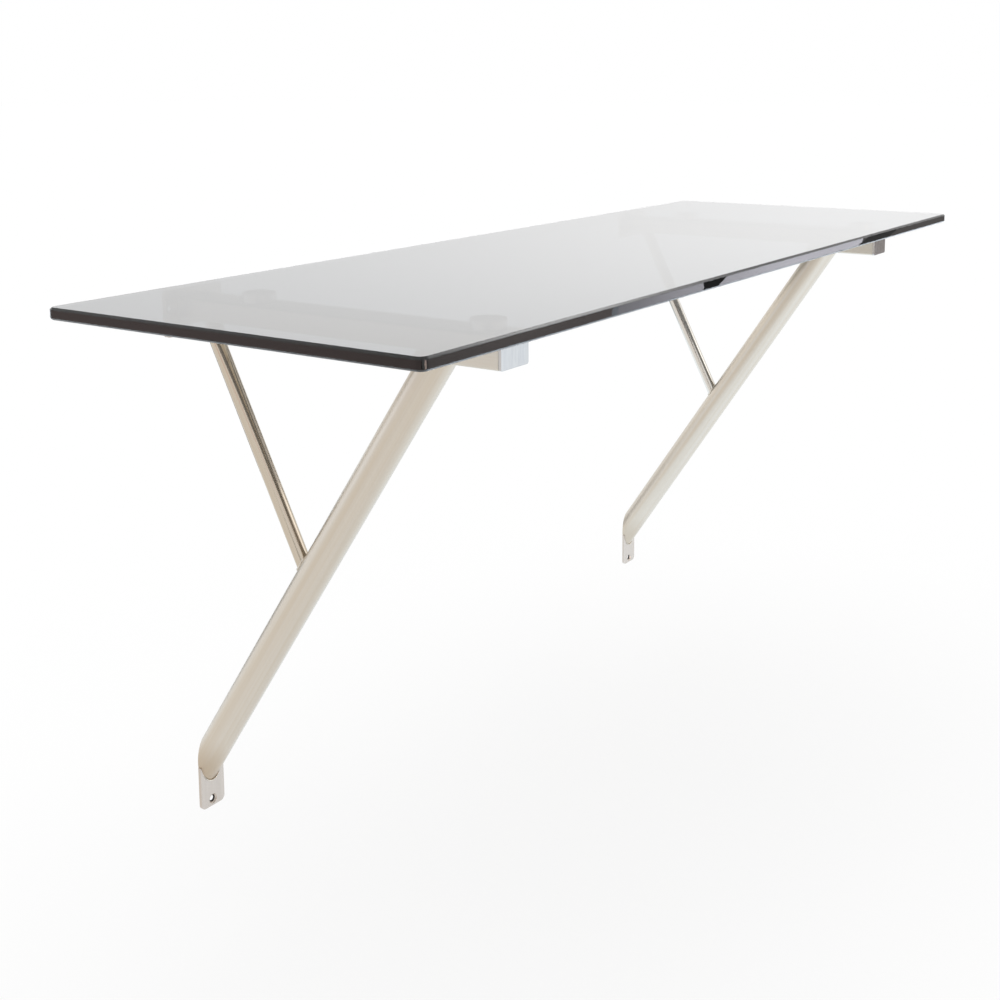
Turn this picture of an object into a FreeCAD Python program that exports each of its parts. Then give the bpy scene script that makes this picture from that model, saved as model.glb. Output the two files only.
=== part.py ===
import FreeCAD, Part
import math
import os
import Sketcher
from FreeCAD import Rotation, Vector

# A desk top of smoked glass on two welded steel brackets that are screwed to a wall.
# The wall is the plane y = 0 and the desk stands out from it towards -Y, with +Z up.
# The origin lies on the wall, midway between the screws of the two feet.

# Driving dimensions in millimetres: name, value, what it measures
SIZES = (
    ("top_width", 1300, "glass along the wall"),
    ("top_depth", 440, "glass from its rear edge to its front edge"),
    ("top_thick", 12, "glass thickness"),
    ("top_corner", 8, "radius of the glass corners, seen from above"),
    ("top_arris", 2, "flat ground along the glass edges"),
    ("top_height", 572.5, "glass surface above the foot screws"),
    ("wall_gap", 1.5, "glass rear edge to the wall"),
    ("bracket_inset", 182, "glass side edge to the middle of a bracket"),
    ("rail_width", 44, "rail across"),
    ("rail_height", 22, "rail from underside to top"),
    ("rail_wall", 2, "rail wall"),
    ("rail_corner", 2.5, "rail outer corner radius"),
    ("rail_bore_corner", 1, "rail inner corner radius"),
    ("rail_setback", 37.5, "glass front edge to the rail's front end"),
    ("cap_thick", 3, "end cap thickness"),
    ("cap_ease", 0.6, "rounding of the end cap's front edges"),
    ("puck_diameter", 34, "puck across"),
    ("puck_height", 9.6, "puck height"),
    ("puck_ease", 0.5, "chamfer on the puck rims"),
    ("puck_roof", 2, "metal left over the puck's blind hole"),
    ("front_puck_inset", 28, "rail front end to the front puck's middle"),
    ("rear_puck_reach", 98, "wall to the rear puck's middle"),
    ("bond_thick", 0.4, "adhesive film thickness"),
    ("bond_inset", 0.5, "adhesive film edge inside the puck's edge"),
    ("screw_diameter", 6, "puck screw shank"),
    ("screw_fit", 0.2, "puck hole wider than the shank"),
    ("screw_pass", 0.6, "rail hole wider than the shank"),
    ("screw_tip_gap", 0.6, "shank end to the bottom of the puck hole"),
    ("head_diameter", 10, "puck screw head across"),
    ("head_height", 5, "puck screw head height"),
    ("socket_width", 5, "hexagon socket across its corners"),
    ("socket_depth", 2.5, "hexagon socket depth"),
    ("access_gap", 4, "access hole under the rail wider than the head"),
    ("plate_thick", 5, "upper wall plate"),
    ("plate_corner", 4, "upper wall plate corner radius"),
    ("plate_top_gap", 2, "upper wall plate below the glass"),
    ("plate_lip", 8, "upper wall plate below the rail"),
    ("hole_diameter", 5.5, "wall screw hole"),
    ("sink_diameter", 11, "countersink of a wall screw hole"),
    ("sink_angle", 90, "countersink angle in degrees"),
    ("sink_margin", 2, "plain metal round a countersink"),
    ("foot_thick", 3.5, "foot plate"),
    ("foot_edge", 7.5, "foot screw to the foot plate's lower edge"),
    ("foot_corner", 6, "foot plate lower corner radius"),
    ("foot_side", 0.15, "foot plate beyond the tube on each side"),
    ("foot_top", 42, "foot plate's upper edge above the foot screw"),
    ("tube_diameter", 33.7, "tube across"),
    ("tube_wall", 2.6, "tube wall"),
    ("tube_setback", 83, "rail front end to the tube's axis"),
    ("tube_foot_rise", 53.25, "tube axis at the foot plate's front above the foot screw"),
    ("rod_diameter", 16, "rod across"),
    ("rod_reach", 30, "wall to the rod's axis under the rail"),
    ("rod_join_rise", 281.5, "rod axis on the tube axis above the foot screws"),
    ("tube_bead", 2, "leg of the bead round the tube's top"),
    ("toe_bead", 1.2, "leg of the bead round the tube's toe"),
    ("toe_bead_top", 32, "ends of the toe bead above the foot screw"),
    ("rod_bead", 1.5, "leg of the beads on the rod"),
    ("rail_bead", 2, "leg of the bead round the rail"),
    ("overrun", 5, "how far a cutting shape runs past what it cuts"),
)

# Two lengths are taken as equal when they differ by less than this
TOUCH = 1e-6

# Heights, reaches and slopes worked out from the sizes, as expressions
TOP_UNDERSIDE = "(Sizes.top_height - Sizes.top_thick)"
PUCK_TOP = f"({TOP_UNDERSIDE} - Sizes.bond_thick)"
RAIL_TOP = f"({PUCK_TOP} - Sizes.puck_height)"
RAIL_MIDDLE = f"({RAIL_TOP} - Sizes.rail_height / 2)"
RAIL_BOTTOM = f"({RAIL_TOP} - Sizes.rail_height)"
RAIL_REACH = "(Sizes.wall_gap + Sizes.top_depth - Sizes.rail_setback)"
RAIL_LENGTH = f"({RAIL_REACH} - Sizes.cap_thick - Sizes.plate_thick)"
PUCK_REACHES = {
    "front": f"({RAIL_REACH} - Sizes.front_puck_inset)",
    "rear": "Sizes.rear_puck_reach",
}
PUCK_HOLE_DEPTH = "(Sizes.puck_height - Sizes.puck_roof)"
TUBE_RADIUS = "(Sizes.tube_diameter / 2)"
TUBE_REACH = f"({RAIL_REACH} - Sizes.tube_setback)"
TUBE_RUN = f"({TUBE_REACH} - Sizes.foot_thick)"
TUBE_RISE = f"({RAIL_BOTTOM} - Sizes.tube_foot_rise)"
TUBE_LENGTH = f"sqrt({TUBE_RUN}^2 + {TUBE_RISE}^2)"
TUBE_LEAN = f"atan({TUBE_RUN} / {TUBE_RISE})"
TUBE_STOCK_END = f"(Sizes.tube_diameter * {TUBE_RISE} / {TUBE_RUN} + Sizes.overrun)"
FOOT_WIDTH = "(Sizes.tube_diameter + 2 * Sizes.foot_side)"
FOOT_HEIGHT = "(Sizes.foot_top + Sizes.foot_edge)"
ROD_RADIUS = "(Sizes.rod_diameter / 2)"
ROD_JOIN_REACH = (
    f"(Sizes.foot_thick + (Sizes.rod_join_rise - Sizes.tube_foot_rise) * {TUBE_RUN} / {TUBE_RISE})"
)
ROD_RUN = f"({ROD_JOIN_REACH} - Sizes.rod_reach)"
ROD_RISE = f"({RAIL_BOTTOM} - Sizes.rod_join_rise)"
ROD_LENGTH = f"sqrt({ROD_RUN}^2 + {ROD_RISE}^2)"
ROD_LEAN = f"-atan({ROD_RUN} / {ROD_RISE})"
WALL_HOLE_SPACING = (
    "(Sizes.rail_width + 2 * Sizes.rail_bead + Sizes.sink_diameter + 2 * Sizes.sink_margin)"
)
WALL_PLATE_WIDTH = f"({WALL_HOLE_SPACING} + Sizes.sink_diameter + 2 * Sizes.sink_margin)"
WALL_PLATE_TOP = f"({TOP_UNDERSIDE} - Sizes.plate_top_gap)"
WALL_PLATE_BOTTOM = f"({RAIL_BOTTOM} - Sizes.plate_lip)"

doc = FreeCAD.newDocument("wall_desk")
sheet = doc.addObject("Spreadsheet::Sheet", "Sizes")
for row, (alias, size, meaning) in enumerate(SIZES, start=1):
    sheet.set(f"A{row}", meaning)
    sheet.set(f"B{row}", str(size))
    sheet.setAlias(f"B{row}", alias)
doc.recompute()

# Every finished piece, under the name of its file
pieces = {}


def number(expression):
    """The present value of an expression, for a first guess or a lookup."""
    return float(sheet.evalExpression(expression))


def place(thing, x, y, z, lean=None):
    """Puts an object at (x, y, z) and leans its own Z axis from upright towards -Y."""
    if lean is not None:
        thing.Placement.Rotation = Rotation(Vector(1, 0, 0), number(lean))
        thing.setExpression("Placement.Rotation.Angle", lean)
    for axis, expression in zip("xyz", (x, y, z)):
        thing.setExpression(f"Placement.Base.{axis}", expression)


def primitive(kind, name, sizes, x, y, z, lean=None):
    """A Part primitive whose sizes and place follow the sheet."""
    thing = doc.addObject(kind, name)
    for size, expression in sizes.items():
        thing.setExpression(size, expression)
    place(thing, x, y, z, lean)
    return thing


def cylinder(name, radius, height, x, y, z, lean=None):
    """A round bar that starts at (x, y, z)."""
    return primitive("Part::Cylinder", name, {"Radius": radius, "Height": height}, x, y, z, lean)


def box(name, spans):
    """A block given by its lowest and highest place along X, Y and Z."""
    sizes = {
        side: f"{high} - ({low})" for side, (low, high) in zip(("Length", "Width", "Height"), spans)
    }
    return primitive("Part::Box", name, sizes, *(low for low, high in spans))


def boolean(kind, name, base, tool):
    """A cut, fuse or common of two objects."""
    result = doc.addObject(kind, name)
    result.Base = base
    result.Tool = tool
    return result


def keep(name, thing):
    """Files a finished piece under its name."""
    thing.Label = name
    pieces[name] = thing


def new_body(name, x, y, z):
    """An empty body whose origin is placed by expressions."""
    body = doc.addObject("PartDesign::Body", name)
    place(body, x, y, z)
    return body


def new_sketch(body, role, name, lift=None):
    """A sketch on one of the body's origin planes, lifted off it along the plane's normal."""
    sketch = body.newObject("Sketcher::SketchObject", name)
    plane = next(feature for feature in body.Origin.OriginFeatures if feature.Role == role)
    sketch.AttachmentSupport = [(plane, "")]
    sketch.MapMode = "FlatFace"
    if lift is not None:
        sketch.setExpression("AttachmentOffset.Base.z", lift)
    return sketch


def dimension(sketch, constraint, expression):
    """Adds a sketch dimension and ties it to the sheet."""
    index = sketch.addConstraint(constraint)
    sketch.setExpression(f"Constraints[{index}]", expression)


def rounded_rectangle(sketch, width, height, radius):
    """A rectangle with round corners about the sketch's origin."""
    half_w = number(width) / 2
    half_h = number(height) / 2
    r = number(radius)
    turns = ((1, -1, 270), (1, 1, 0), (-1, 1, 90), (-1, -1, 180))
    arcs = []
    for side_x, side_y, start in turns:
        circle = Part.Circle(
            Vector(side_x * (half_w - r), side_y * (half_h - r), 0), Vector(0, 0, 1), r
        )
        corner = Part.ArcOfCircle(circle, math.radians(start), math.radians(start + 90))
        arcs.append(sketch.addGeometry(corner, False))
    lines = []
    for index, arc in enumerate(arcs):
        before = sketch.Geometry[arcs[index - 1]]
        ahead = sketch.Geometry[arc]
        line = Part.LineSegment(before.EndPoint, ahead.StartPoint)
        lines.append(sketch.addGeometry(line, False))
    for index, arc in enumerate(arcs):
        sketch.addConstraint(Sketcher.Constraint("Tangent", arcs[index - 1], 2, lines[index], 1))
        sketch.addConstraint(Sketcher.Constraint("Tangent", lines[index], 2, arc, 1))
    bottom, right, top, left = lines
    for line in (bottom, top):
        sketch.addConstraint(Sketcher.Constraint("Horizontal", line))
    for line in (left, right):
        sketch.addConstraint(Sketcher.Constraint("Vertical", line))
    for arc in arcs[1:]:
        sketch.addConstraint(Sketcher.Constraint("Equal", arcs[0], arc))
    sketch.addConstraint(Sketcher.Constraint("Symmetric", arcs[0], 3, arcs[2], 3, -1, 1))
    dimension(sketch, Sketcher.Constraint("Radius", arcs[0], r), radius)
    dimension(sketch, Sketcher.Constraint("DistanceX", left, 1, right, 1, 2 * half_w), width)
    dimension(sketch, Sketcher.Constraint("DistanceY", bottom, 1, top, 1, 2 * half_h), height)


def plain_rectangle(sketch, width, height):
    """A rectangle about the sketch's origin."""
    half_w = number(width) / 2
    half_h = number(height) / 2
    corners = [Vector(x * half_w, y * half_h, 0) for x, y in ((-1, -1), (1, -1), (1, 1), (-1, 1))]
    lines = [
        sketch.addGeometry(Part.LineSegment(corner, corners[(index + 1) % 4]), False)
        for index, corner in enumerate(corners)
    ]
    bottom, right, top, left = lines
    for index, line in enumerate(lines):
        sketch.addConstraint(Sketcher.Constraint("Coincident", lines[index - 1], 2, line, 1))
    for line in (bottom, top):
        sketch.addConstraint(Sketcher.Constraint("Horizontal", line))
    for line in (left, right):
        sketch.addConstraint(Sketcher.Constraint("Vertical", line))
    sketch.addConstraint(Sketcher.Constraint("Symmetric", bottom, 1, top, 1, -1, 1))
    dimension(sketch, Sketcher.Constraint("DistanceX", bottom, 1, bottom, 2, 2 * half_w), width)
    dimension(sketch, Sketcher.Constraint("DistanceY", right, 1, right, 2, 2 * half_h), height)


def circle_at(sketch, diameter, x=None, y=None):
    """A circle on the sketch's axes, off its origin by x or by y where these are given."""
    centre = Vector(number(x) if x else 0, number(y) if y else 0, 0)
    circle = sketch.addGeometry(Part.Circle(centre, Vector(0, 0, 1), number(diameter) / 2), False)
    dimension(sketch, Sketcher.Constraint("Diameter", circle, number(diameter)), diameter)
    if x:
        dimension(sketch, Sketcher.Constraint("DistanceX", -1, 1, circle, 3, centre.x), x)
    else:
        sketch.addConstraint(Sketcher.Constraint("PointOnObject", circle, 3, -2))
    if y:
        dimension(sketch, Sketcher.Constraint("DistanceY", -1, 1, circle, 3, centre.y), y)
    else:
        sketch.addConstraint(Sketcher.Constraint("PointOnObject", circle, 3, -1))


def pad(body, sketch, name, length):
    """Pads a sketch along its normal."""
    feature = body.newObject("PartDesign::Pad", name)
    feature.Profile = sketch
    feature.setExpression("Length", length)
    doc.recompute()
    return feature


def pocket(body, sketch, name, length=None, upward=False):
    """Cuts a sketch into the body, against its normal or along it, and checks that it cut."""
    before = body.Shape.Volume
    feature = body.newObject("PartDesign::Pocket", name)
    feature.Profile = sketch
    feature.Reversed = upward
    if length is None:
        feature.Type = "ThroughAll"
    else:
        feature.setExpression("Length", length)
    doc.recompute()
    if body.Shape.Volume >= before:
        raise RuntimeError(f"{name} cut nothing from {body.Name}")


def edges_where(shape, test):
    """The names of the edges that pass a test."""
    return [f"Edge{n}" for n, edge in enumerate(shape.Edges, start=1) if test(edge)]


def dress(body, kind, name, base, size, expression, test):
    """A fillet or chamfer on the edges of a feature that pass a test."""
    feature = body.newObject(kind, name)
    feature.Base = (base, edges_where(base.Shape, test))
    feature.setExpression(size, expression)
    doc.recompute()


def wall_screw_holes(body, sketch, name):
    """Countersunk screw holes through a wall plate, at the circles of a sketch on its front."""
    before = body.Shape.Volume
    hole = body.newObject("PartDesign::Hole", name)
    hole.Profile = sketch
    doc.recompute()
    hole.DepthType = "ThroughAll"
    hole.HoleCutType = "Countersink"
    hole.setExpression("Diameter", "Sizes.hole_diameter")
    hole.setExpression("HoleCutDiameter", "Sizes.sink_diameter")
    hole.setExpression("HoleCutCountersinkAngle", "Sizes.sink_angle")
    doc.recompute()
    if body.Shape.Volume >= before:
        raise RuntimeError(f"{name} cut nothing from {body.Name}")


def glass_top():
    """The glass: a sheet with round corners and an arris ground along every edge."""
    body = new_body("GlassTop", "0", "-(Sizes.wall_gap + Sizes.top_depth / 2)", TOP_UNDERSIDE)
    sketch = new_sketch(body, "XY_Plane", "GlassOutline")
    rounded_rectangle(sketch, "Sizes.top_width", "Sizes.top_depth", "Sizes.top_corner")
    sheet_glass = pad(body, sketch, "GlassSheet", "Sizes.top_thick")
    dress(
        body, "PartDesign::Chamfer", "GlassArris", sheet_glass, "Size", "Sizes.top_arris",
        lambda edge: edge.BoundBox.ZLength < TOUCH,
    )
    keep("glass_top", body)


def rail(side, x):
    """The rail: a rectangular tube with a screw hole and an access hole at each puck."""
    body = new_body(f"Rail_{side}", x, "-Sizes.plate_thick", RAIL_MIDDLE)
    section = new_sketch(body, "XZ_Plane", f"RailSection_{side}")
    rounded_rectangle(section, "Sizes.rail_width", "Sizes.rail_height", "Sizes.rail_corner")
    rounded_rectangle(
        section,
        "Sizes.rail_width - 2 * Sizes.rail_wall",
        "Sizes.rail_height - 2 * Sizes.rail_wall",
        "Sizes.rail_bore_corner",
    )
    pad(body, section, f"RailTube_{side}", RAIL_LENGTH)
    widths = {
        "Screw": "Sizes.screw_diameter + Sizes.screw_pass",
        "Access": "Sizes.head_diameter + Sizes.access_gap",
    }
    for use, width in widths.items():
        holes = new_sketch(body, "XY_Plane", f"Rail{use}Circles_{side}")
        for reach in PUCK_REACHES.values():
            circle_at(holes, width, y=f"Sizes.plate_thick - {reach}")
        pocket(body, holes, f"Rail{use}Holes_{side}", upward=use == "Screw")
    keep(f"{side}_rail", body)


def end_cap(side, x):
    """The plate that closes the rail's front end, with its front edges eased."""
    body = new_body(f"EndCap_{side}", x, f"Sizes.cap_thick - {RAIL_REACH}", RAIL_MIDDLE)
    outline = new_sketch(body, "XZ_Plane", f"CapOutline_{side}")
    rounded_rectangle(outline, "Sizes.rail_width", "Sizes.rail_height", "Sizes.rail_corner")
    plate = pad(body, outline, f"CapPlate_{side}", "Sizes.cap_thick")
    dress(
        body, "PartDesign::Fillet", f"CapEase_{side}", plate, "Radius", "Sizes.cap_ease",
        lambda edge: edge.BoundBox.YMax < -number("Sizes.cap_thick") + TOUCH,
    )
    keep(f"{side}_end_cap", body)


def wall_plate(side, x):
    """The upper wall plate behind the rail, with a countersunk hole on each side of it."""
    middle = f"({WALL_PLATE_TOP} + {WALL_PLATE_BOTTOM}) / 2"
    body = new_body(f"WallPlate_{side}", x, "0", middle)
    outline = new_sketch(body, "XZ_Plane", f"WallPlateOutline_{side}")
    height = f"{WALL_PLATE_TOP} - {WALL_PLATE_BOTTOM}"
    rounded_rectangle(outline, WALL_PLATE_WIDTH, height, "Sizes.plate_corner")
    pad(body, outline, f"WallPlateSheet_{side}", "Sizes.plate_thick")
    holes = new_sketch(body, "XZ_Plane", f"WallPlateCircles_{side}", "Sizes.plate_thick")
    for way in ("-1", "1"):
        circle_at(
            holes, "Sizes.hole_diameter",
            x=f"{way} * {WALL_HOLE_SPACING} / 2", y=f"{RAIL_MIDDLE} - {middle}",
        )
    wall_screw_holes(body, holes, f"WallPlateHoles_{side}")
    keep(f"{side}_wall_plate", body)


def foot_blank(side, x):
    """The foot plate before it is coped: a tongue with one countersunk hole near its lower edge."""
    middle = f"({FOOT_HEIGHT} / 2 - Sizes.foot_edge)"
    body = new_body(f"FootBlank_{side}", x, "0", middle)
    outline = new_sketch(body, "XZ_Plane", f"FootOutline_{side}")
    plain_rectangle(outline, FOOT_WIDTH, FOOT_HEIGHT)
    plate = pad(body, outline, f"FootSheet_{side}", "Sizes.foot_thick")
    dress(
        body, "PartDesign::Fillet", f"FootCorners_{side}", plate, "Radius", "Sizes.foot_corner",
        lambda edge: edge.BoundBox.ZMax < 0 and edge.BoundBox.XLength < TOUCH,
    )
    hole = new_sketch(body, "XZ_Plane", f"FootCircle_{side}", "Sizes.foot_thick")
    circle_at(hole, "Sizes.hole_diameter", y=f"-{middle}")
    wall_screw_holes(body, hole, f"FootHole_{side}")
    return body


def leaning_bar(name, side, x, radius):
    """Round stock along the tube's axis, longer than the tube at both ends."""
    return cylinder(
        f"{name}_{side}", radius, f"{TUBE_LENGTH} + 2 * {TUBE_STOCK_END}", x,
        f"{TUBE_STOCK_END} * {TUBE_RUN} / {TUBE_LENGTH} - Sizes.foot_thick",
        f"Sizes.tube_foot_rise - {TUBE_STOCK_END} * {TUBE_RISE} / {TUBE_LENGTH}",
        TUBE_LEAN,
    )


def rod_bar(name, side, x, radius):
    """Round stock along the rod's axis, from the tube's axis to past the rail's underside."""
    return cylinder(
        f"{name}_{side}", radius, f"{ROD_LENGTH} + Sizes.rod_diameter + Sizes.overrun",
        x, f"-{ROD_JOIN_REACH}", "Sizes.rod_join_rise", ROD_LEAN,
    )


def bracket_room(name, side, x, bottom="-Sizes.foot_edge"):
    """The room for struts: in front of the wall and under the rail."""
    half = "(Sizes.tube_diameter + Sizes.overrun)"
    spans = (
        (f"{x} - {half}", f"{x} + {half}"),
        (f"-{RAIL_REACH}", "0"),
        (bottom, RAIL_BOTTOM),
    )
    return box(f"{name}_{side}", spans)


def struts(side, x):
    """The tube from the wall to the rail, the rod, the foot plate and the beads that weld them."""
    tube_solid = leaning_bar("TubeSolid", side, x, TUBE_RADIUS)
    tube_bore = leaning_bar("TubeBore", side, x, f"{TUBE_RADIUS} - Sizes.tube_wall")
    tube_stock = boolean("Part::Cut", f"TubeStock_{side}", tube_solid, tube_bore)
    room = bracket_room("StrutRoom", side, x)
    keep(f"{side}_tube", boolean("Part::Common", f"Tube_{side}", tube_stock, room))

    blank = foot_blank(side, x)
    keep(f"{side}_foot_plate", boolean("Part::Cut", f"FootPlate_{side}", blank, tube_solid))

    rod_solid = rod_bar("RodSolid", side, x, ROD_RADIUS)
    rod_stock = boolean("Part::Common", f"RodStock_{side}", rod_solid, room)
    keep(f"{side}_rod", boolean("Part::Cut", f"Rod_{side}", rod_stock, tube_solid))

    tube_sleeve = leaning_bar("TubeSleeve", side, x, f"{TUBE_RADIUS} + Sizes.tube_bead")
    tube_ring = boolean("Part::Cut", f"TubeRing_{side}", tube_sleeve, tube_solid)
    under_rail = bracket_room("TubeTopRoom", side, x, bottom=f"{RAIL_BOTTOM} - Sizes.tube_bead")
    keep(f"{side}_tube_weld", boolean("Part::Common", f"TubeWeld_{side}", tube_ring, under_rail))

    toe_sleeve = leaning_bar("ToeSleeve", side, x, f"{TUBE_RADIUS} + Sizes.toe_bead")
    toe_ring = boolean("Part::Cut", f"ToeRing_{side}", toe_sleeve, tube_solid)
    toe_spans = (
        (f"{x} - {FOOT_WIDTH} / 2", f"{x} + {FOOT_WIDTH} / 2"),
        ("-(Sizes.foot_thick + Sizes.toe_bead)", "-Sizes.foot_thick"),
        ("-Sizes.foot_edge", "Sizes.toe_bead_top"),
    )
    toe_room = box(f"ToeRoom_{side}", toe_spans)
    keep(f"{side}_foot_weld", boolean("Part::Common", f"FootWeld_{side}", toe_ring, toe_room))

    rod_sleeve = rod_bar("RodSleeve", side, x, f"{ROD_RADIUS} + Sizes.rod_bead")
    rod_ring = boolean("Part::Cut", f"RodRing_{side}", rod_sleeve, rod_solid)
    over_rod = bracket_room("RodTopRoom", side, x, bottom=f"{RAIL_BOTTOM} - Sizes.rod_bead")
    keep(f"{side}_rod_top_weld", boolean("Part::Common", f"RodTopWeld_{side}", rod_ring, over_rod))

    near_tube = leaning_bar("RodFootSleeve", side, x, f"{TUBE_RADIUS} + Sizes.rod_bead")
    rod_collar = boolean("Part::Common", f"RodCollar_{side}", rod_ring, near_tube)
    keep(f"{side}_rod_weld", boolean("Part::Cut", f"RodWeld_{side}", rod_collar, tube_solid))


def rail_weld(side, x):
    """The bead round the rail's rear end, on the front of the wall plate."""
    body = new_body(f"RailWeld_{side}", x, "-Sizes.plate_thick", RAIL_MIDDLE)
    frame = new_sketch(body, "XZ_Plane", f"RailWeldFrame_{side}")
    rounded_rectangle(
        frame,
        "Sizes.rail_width + 2 * Sizes.rail_bead",
        "Sizes.rail_height + 2 * Sizes.rail_bead",
        "Sizes.rail_corner + Sizes.rail_bead",
    )
    rounded_rectangle(frame, "Sizes.rail_width", "Sizes.rail_height", "Sizes.rail_corner")
    pad(body, frame, f"RailBead_{side}", "Sizes.rail_bead")
    keep(f"{side}_rail_weld", body)


def puck(side, end, x):
    """A puck: a turned disc with eased rims and a blind hole for its screw."""
    body = new_body(f"Puck_{side}_{end}", x, f"-{PUCK_REACHES[end]}", RAIL_TOP)
    outline = new_sketch(body, "XY_Plane", f"PuckOutline_{side}_{end}")
    circle_at(outline, "Sizes.puck_diameter")
    disc = pad(body, outline, f"PuckDisc_{side}_{end}", "Sizes.puck_height")
    dress(
        body, "PartDesign::Chamfer", f"PuckEase_{side}_{end}", disc, "Size", "Sizes.puck_ease",
        lambda edge: edge.BoundBox.ZLength < TOUCH,
    )
    hole = new_sketch(body, "XY_Plane", f"PuckCircle_{side}_{end}")
    circle_at(hole, "Sizes.screw_diameter + Sizes.screw_fit")
    pocket(body, hole, f"PuckHole_{side}_{end}", PUCK_HOLE_DEPTH, upward=True)
    keep(f"{side}_{end}_puck", body)


def puck_screw(tag, x, y):
    """A socket screw that stands in the rail with its head under the rail's upper wall."""
    seat = f"({RAIL_TOP} - Sizes.rail_wall)"
    head = cylinder(
        f"Head_{tag}", "Sizes.head_diameter / 2", "Sizes.head_height", x, y, f"{seat} - Sizes.head_height"
    )
    shank = cylinder(
        f"Shank_{tag}", "Sizes.screw_diameter / 2",
        f"Sizes.rail_wall + {PUCK_HOLE_DEPTH} - Sizes.screw_tip_gap", x, y, seat,
    )
    socket = doc.addObject("Part::Prism", f"Socket_{tag}")
    socket.setExpression("Circumradius", "Sizes.socket_width / 2")
    socket.setExpression("Height", "Sizes.socket_depth")
    place(socket, x, y, f"{seat} - Sizes.head_height")
    blank = boolean("Part::Fuse", f"Blank_{tag}", head, shank)
    return boolean("Part::Cut", f"Screw_{tag}", blank, socket)


def glass_fixings(brackets):
    """The adhesive films and the screws of all pucks, each kind as one group of solids."""
    films = []
    screws = []
    for side, x in brackets.items():
        for end, reach in PUCK_REACHES.items():
            tag = f"{side}_{end}"
            radius = "Sizes.puck_diameter / 2 - Sizes.bond_inset"
            films.append(cylinder(f"Film_{tag}", radius, "Sizes.bond_thick", x, f"-{reach}", PUCK_TOP))
            screws.append(puck_screw(tag, x, f"-{reach}"))
    for name, solids in (("glass_bonds", films), ("puck_screws", screws)):
        group = doc.addObject("Part::Compound", name)
        group.Links = solids
        keep(name, group)


def main():
    """Builds every piece, checks the whole document and writes one file for each piece."""
    brackets = {
        "left": "-(Sizes.top_width / 2 - Sizes.bracket_inset)",
        "right": "(Sizes.top_width / 2 - Sizes.bracket_inset)",
    }
    glass_top()
    for side, x in brackets.items():
        rail(side, x)
        end_cap(side, x)
        wall_plate(side, x)
        struts(side, x)
        rail_weld(side, x)
        for end in PUCK_REACHES:
            puck(side, end, x)
    glass_fixings(brackets)
    doc.recompute()

    for thing in doc.Objects:
        if "Invalid" in thing.State or "Error" in thing.State:
            raise RuntimeError(f"{thing.Name} failed to build")
    for name, thing in pieces.items():
        if thing.Shape.isNull() or not thing.Shape.isValid():
            raise RuntimeError(f"{name} has no valid shape")

    os.makedirs("parts", exist_ok=True)
    for name, thing in pieces.items():
        thing.Shape.exportStep(f"parts/{name}.step")
        print(name, len(thing.Shape.Solids), round(thing.Shape.Volume))


main()
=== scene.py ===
"""A wall desk: a smoked glass top on two welded, nickel-plated steel brackets.

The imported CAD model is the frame, in metres. The wall is the plane y = 0, the desk stands out from it
towards -Y and +Z is up. Each class builds and dresses the visible pieces of one sub-assembly, in the
place that the frame gives them.
"""

import logging
import math
from abc import ABC, abstractmethod
from dataclasses import dataclass, field, replace
from enum import Enum
from typing import Any, Iterable, Sequence

import bmesh
import bpy
from mathutils import Matrix, Vector


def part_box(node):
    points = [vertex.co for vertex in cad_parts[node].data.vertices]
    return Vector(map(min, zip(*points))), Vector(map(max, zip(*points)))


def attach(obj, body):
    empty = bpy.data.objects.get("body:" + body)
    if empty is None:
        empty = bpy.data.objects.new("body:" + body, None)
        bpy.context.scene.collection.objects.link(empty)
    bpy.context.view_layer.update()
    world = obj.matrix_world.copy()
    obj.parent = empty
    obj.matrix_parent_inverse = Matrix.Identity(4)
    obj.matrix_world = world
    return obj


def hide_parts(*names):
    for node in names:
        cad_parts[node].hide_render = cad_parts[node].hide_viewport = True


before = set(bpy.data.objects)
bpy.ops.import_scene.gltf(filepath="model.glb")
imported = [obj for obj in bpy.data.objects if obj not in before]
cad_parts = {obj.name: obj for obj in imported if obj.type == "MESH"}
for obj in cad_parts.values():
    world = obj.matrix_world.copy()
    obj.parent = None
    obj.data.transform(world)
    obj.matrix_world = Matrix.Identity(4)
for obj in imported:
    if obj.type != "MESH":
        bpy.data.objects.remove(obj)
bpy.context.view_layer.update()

log = logging.getLogger("wall_desk")

MM = 0.001
BODY = "root"

# Points closer than MERGE are one point, and faces that would coincide are held PARTING apart
MERGE = 0.001 * MM
PARTING = 0.02 * MM
# Edges sharper than this stay sharp in the shading, or are eased with EASE_STEPS chords
SHARP = math.radians(38)
EASE_STEPS = 3
# How many finer layers a noise has: a crisp one, a soft one and a smooth one
CRISP = 3.0
SOFT = 2.0
SMOOTH = 0.0
# The corners of a square about the origin
SQUARE = ((-1, -1), (1, -1), (1, 1), (-1, 1))

Link = tuple[bpy.types.Node, str]
Ring = list[bmesh.types.BMVert]
Outline = list[tuple[float, float]]


class Side(Enum):
    """The two brackets, as seen by someone who sits at the desk."""

    LEFT = "left"
    RIGHT = "right"


class End(Enum):
    """The two pucks on a rail."""

    FRONT = "front"
    REAR = "rear"


class Slot(Enum):
    """The record's material slots."""

    GLASS = "smoked_glass"
    NICKEL = "nickel_plated_steel"
    WELD = "plated_weld"
    PUCK = "polished_puck"
    BOND = "clear_adhesive"
    SCREW = "zinc_screw"


class Socket(Enum):
    """The kinds of input that a geometry recipe takes."""

    NUMBER = "NodeSocketFloat"
    COUNT = "NodeSocketInt"
    POINT = "NodeSocketVector"
    THING = "NodeSocketObject"
    MATERIAL = "NodeSocketMaterial"


# Nodes


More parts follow.
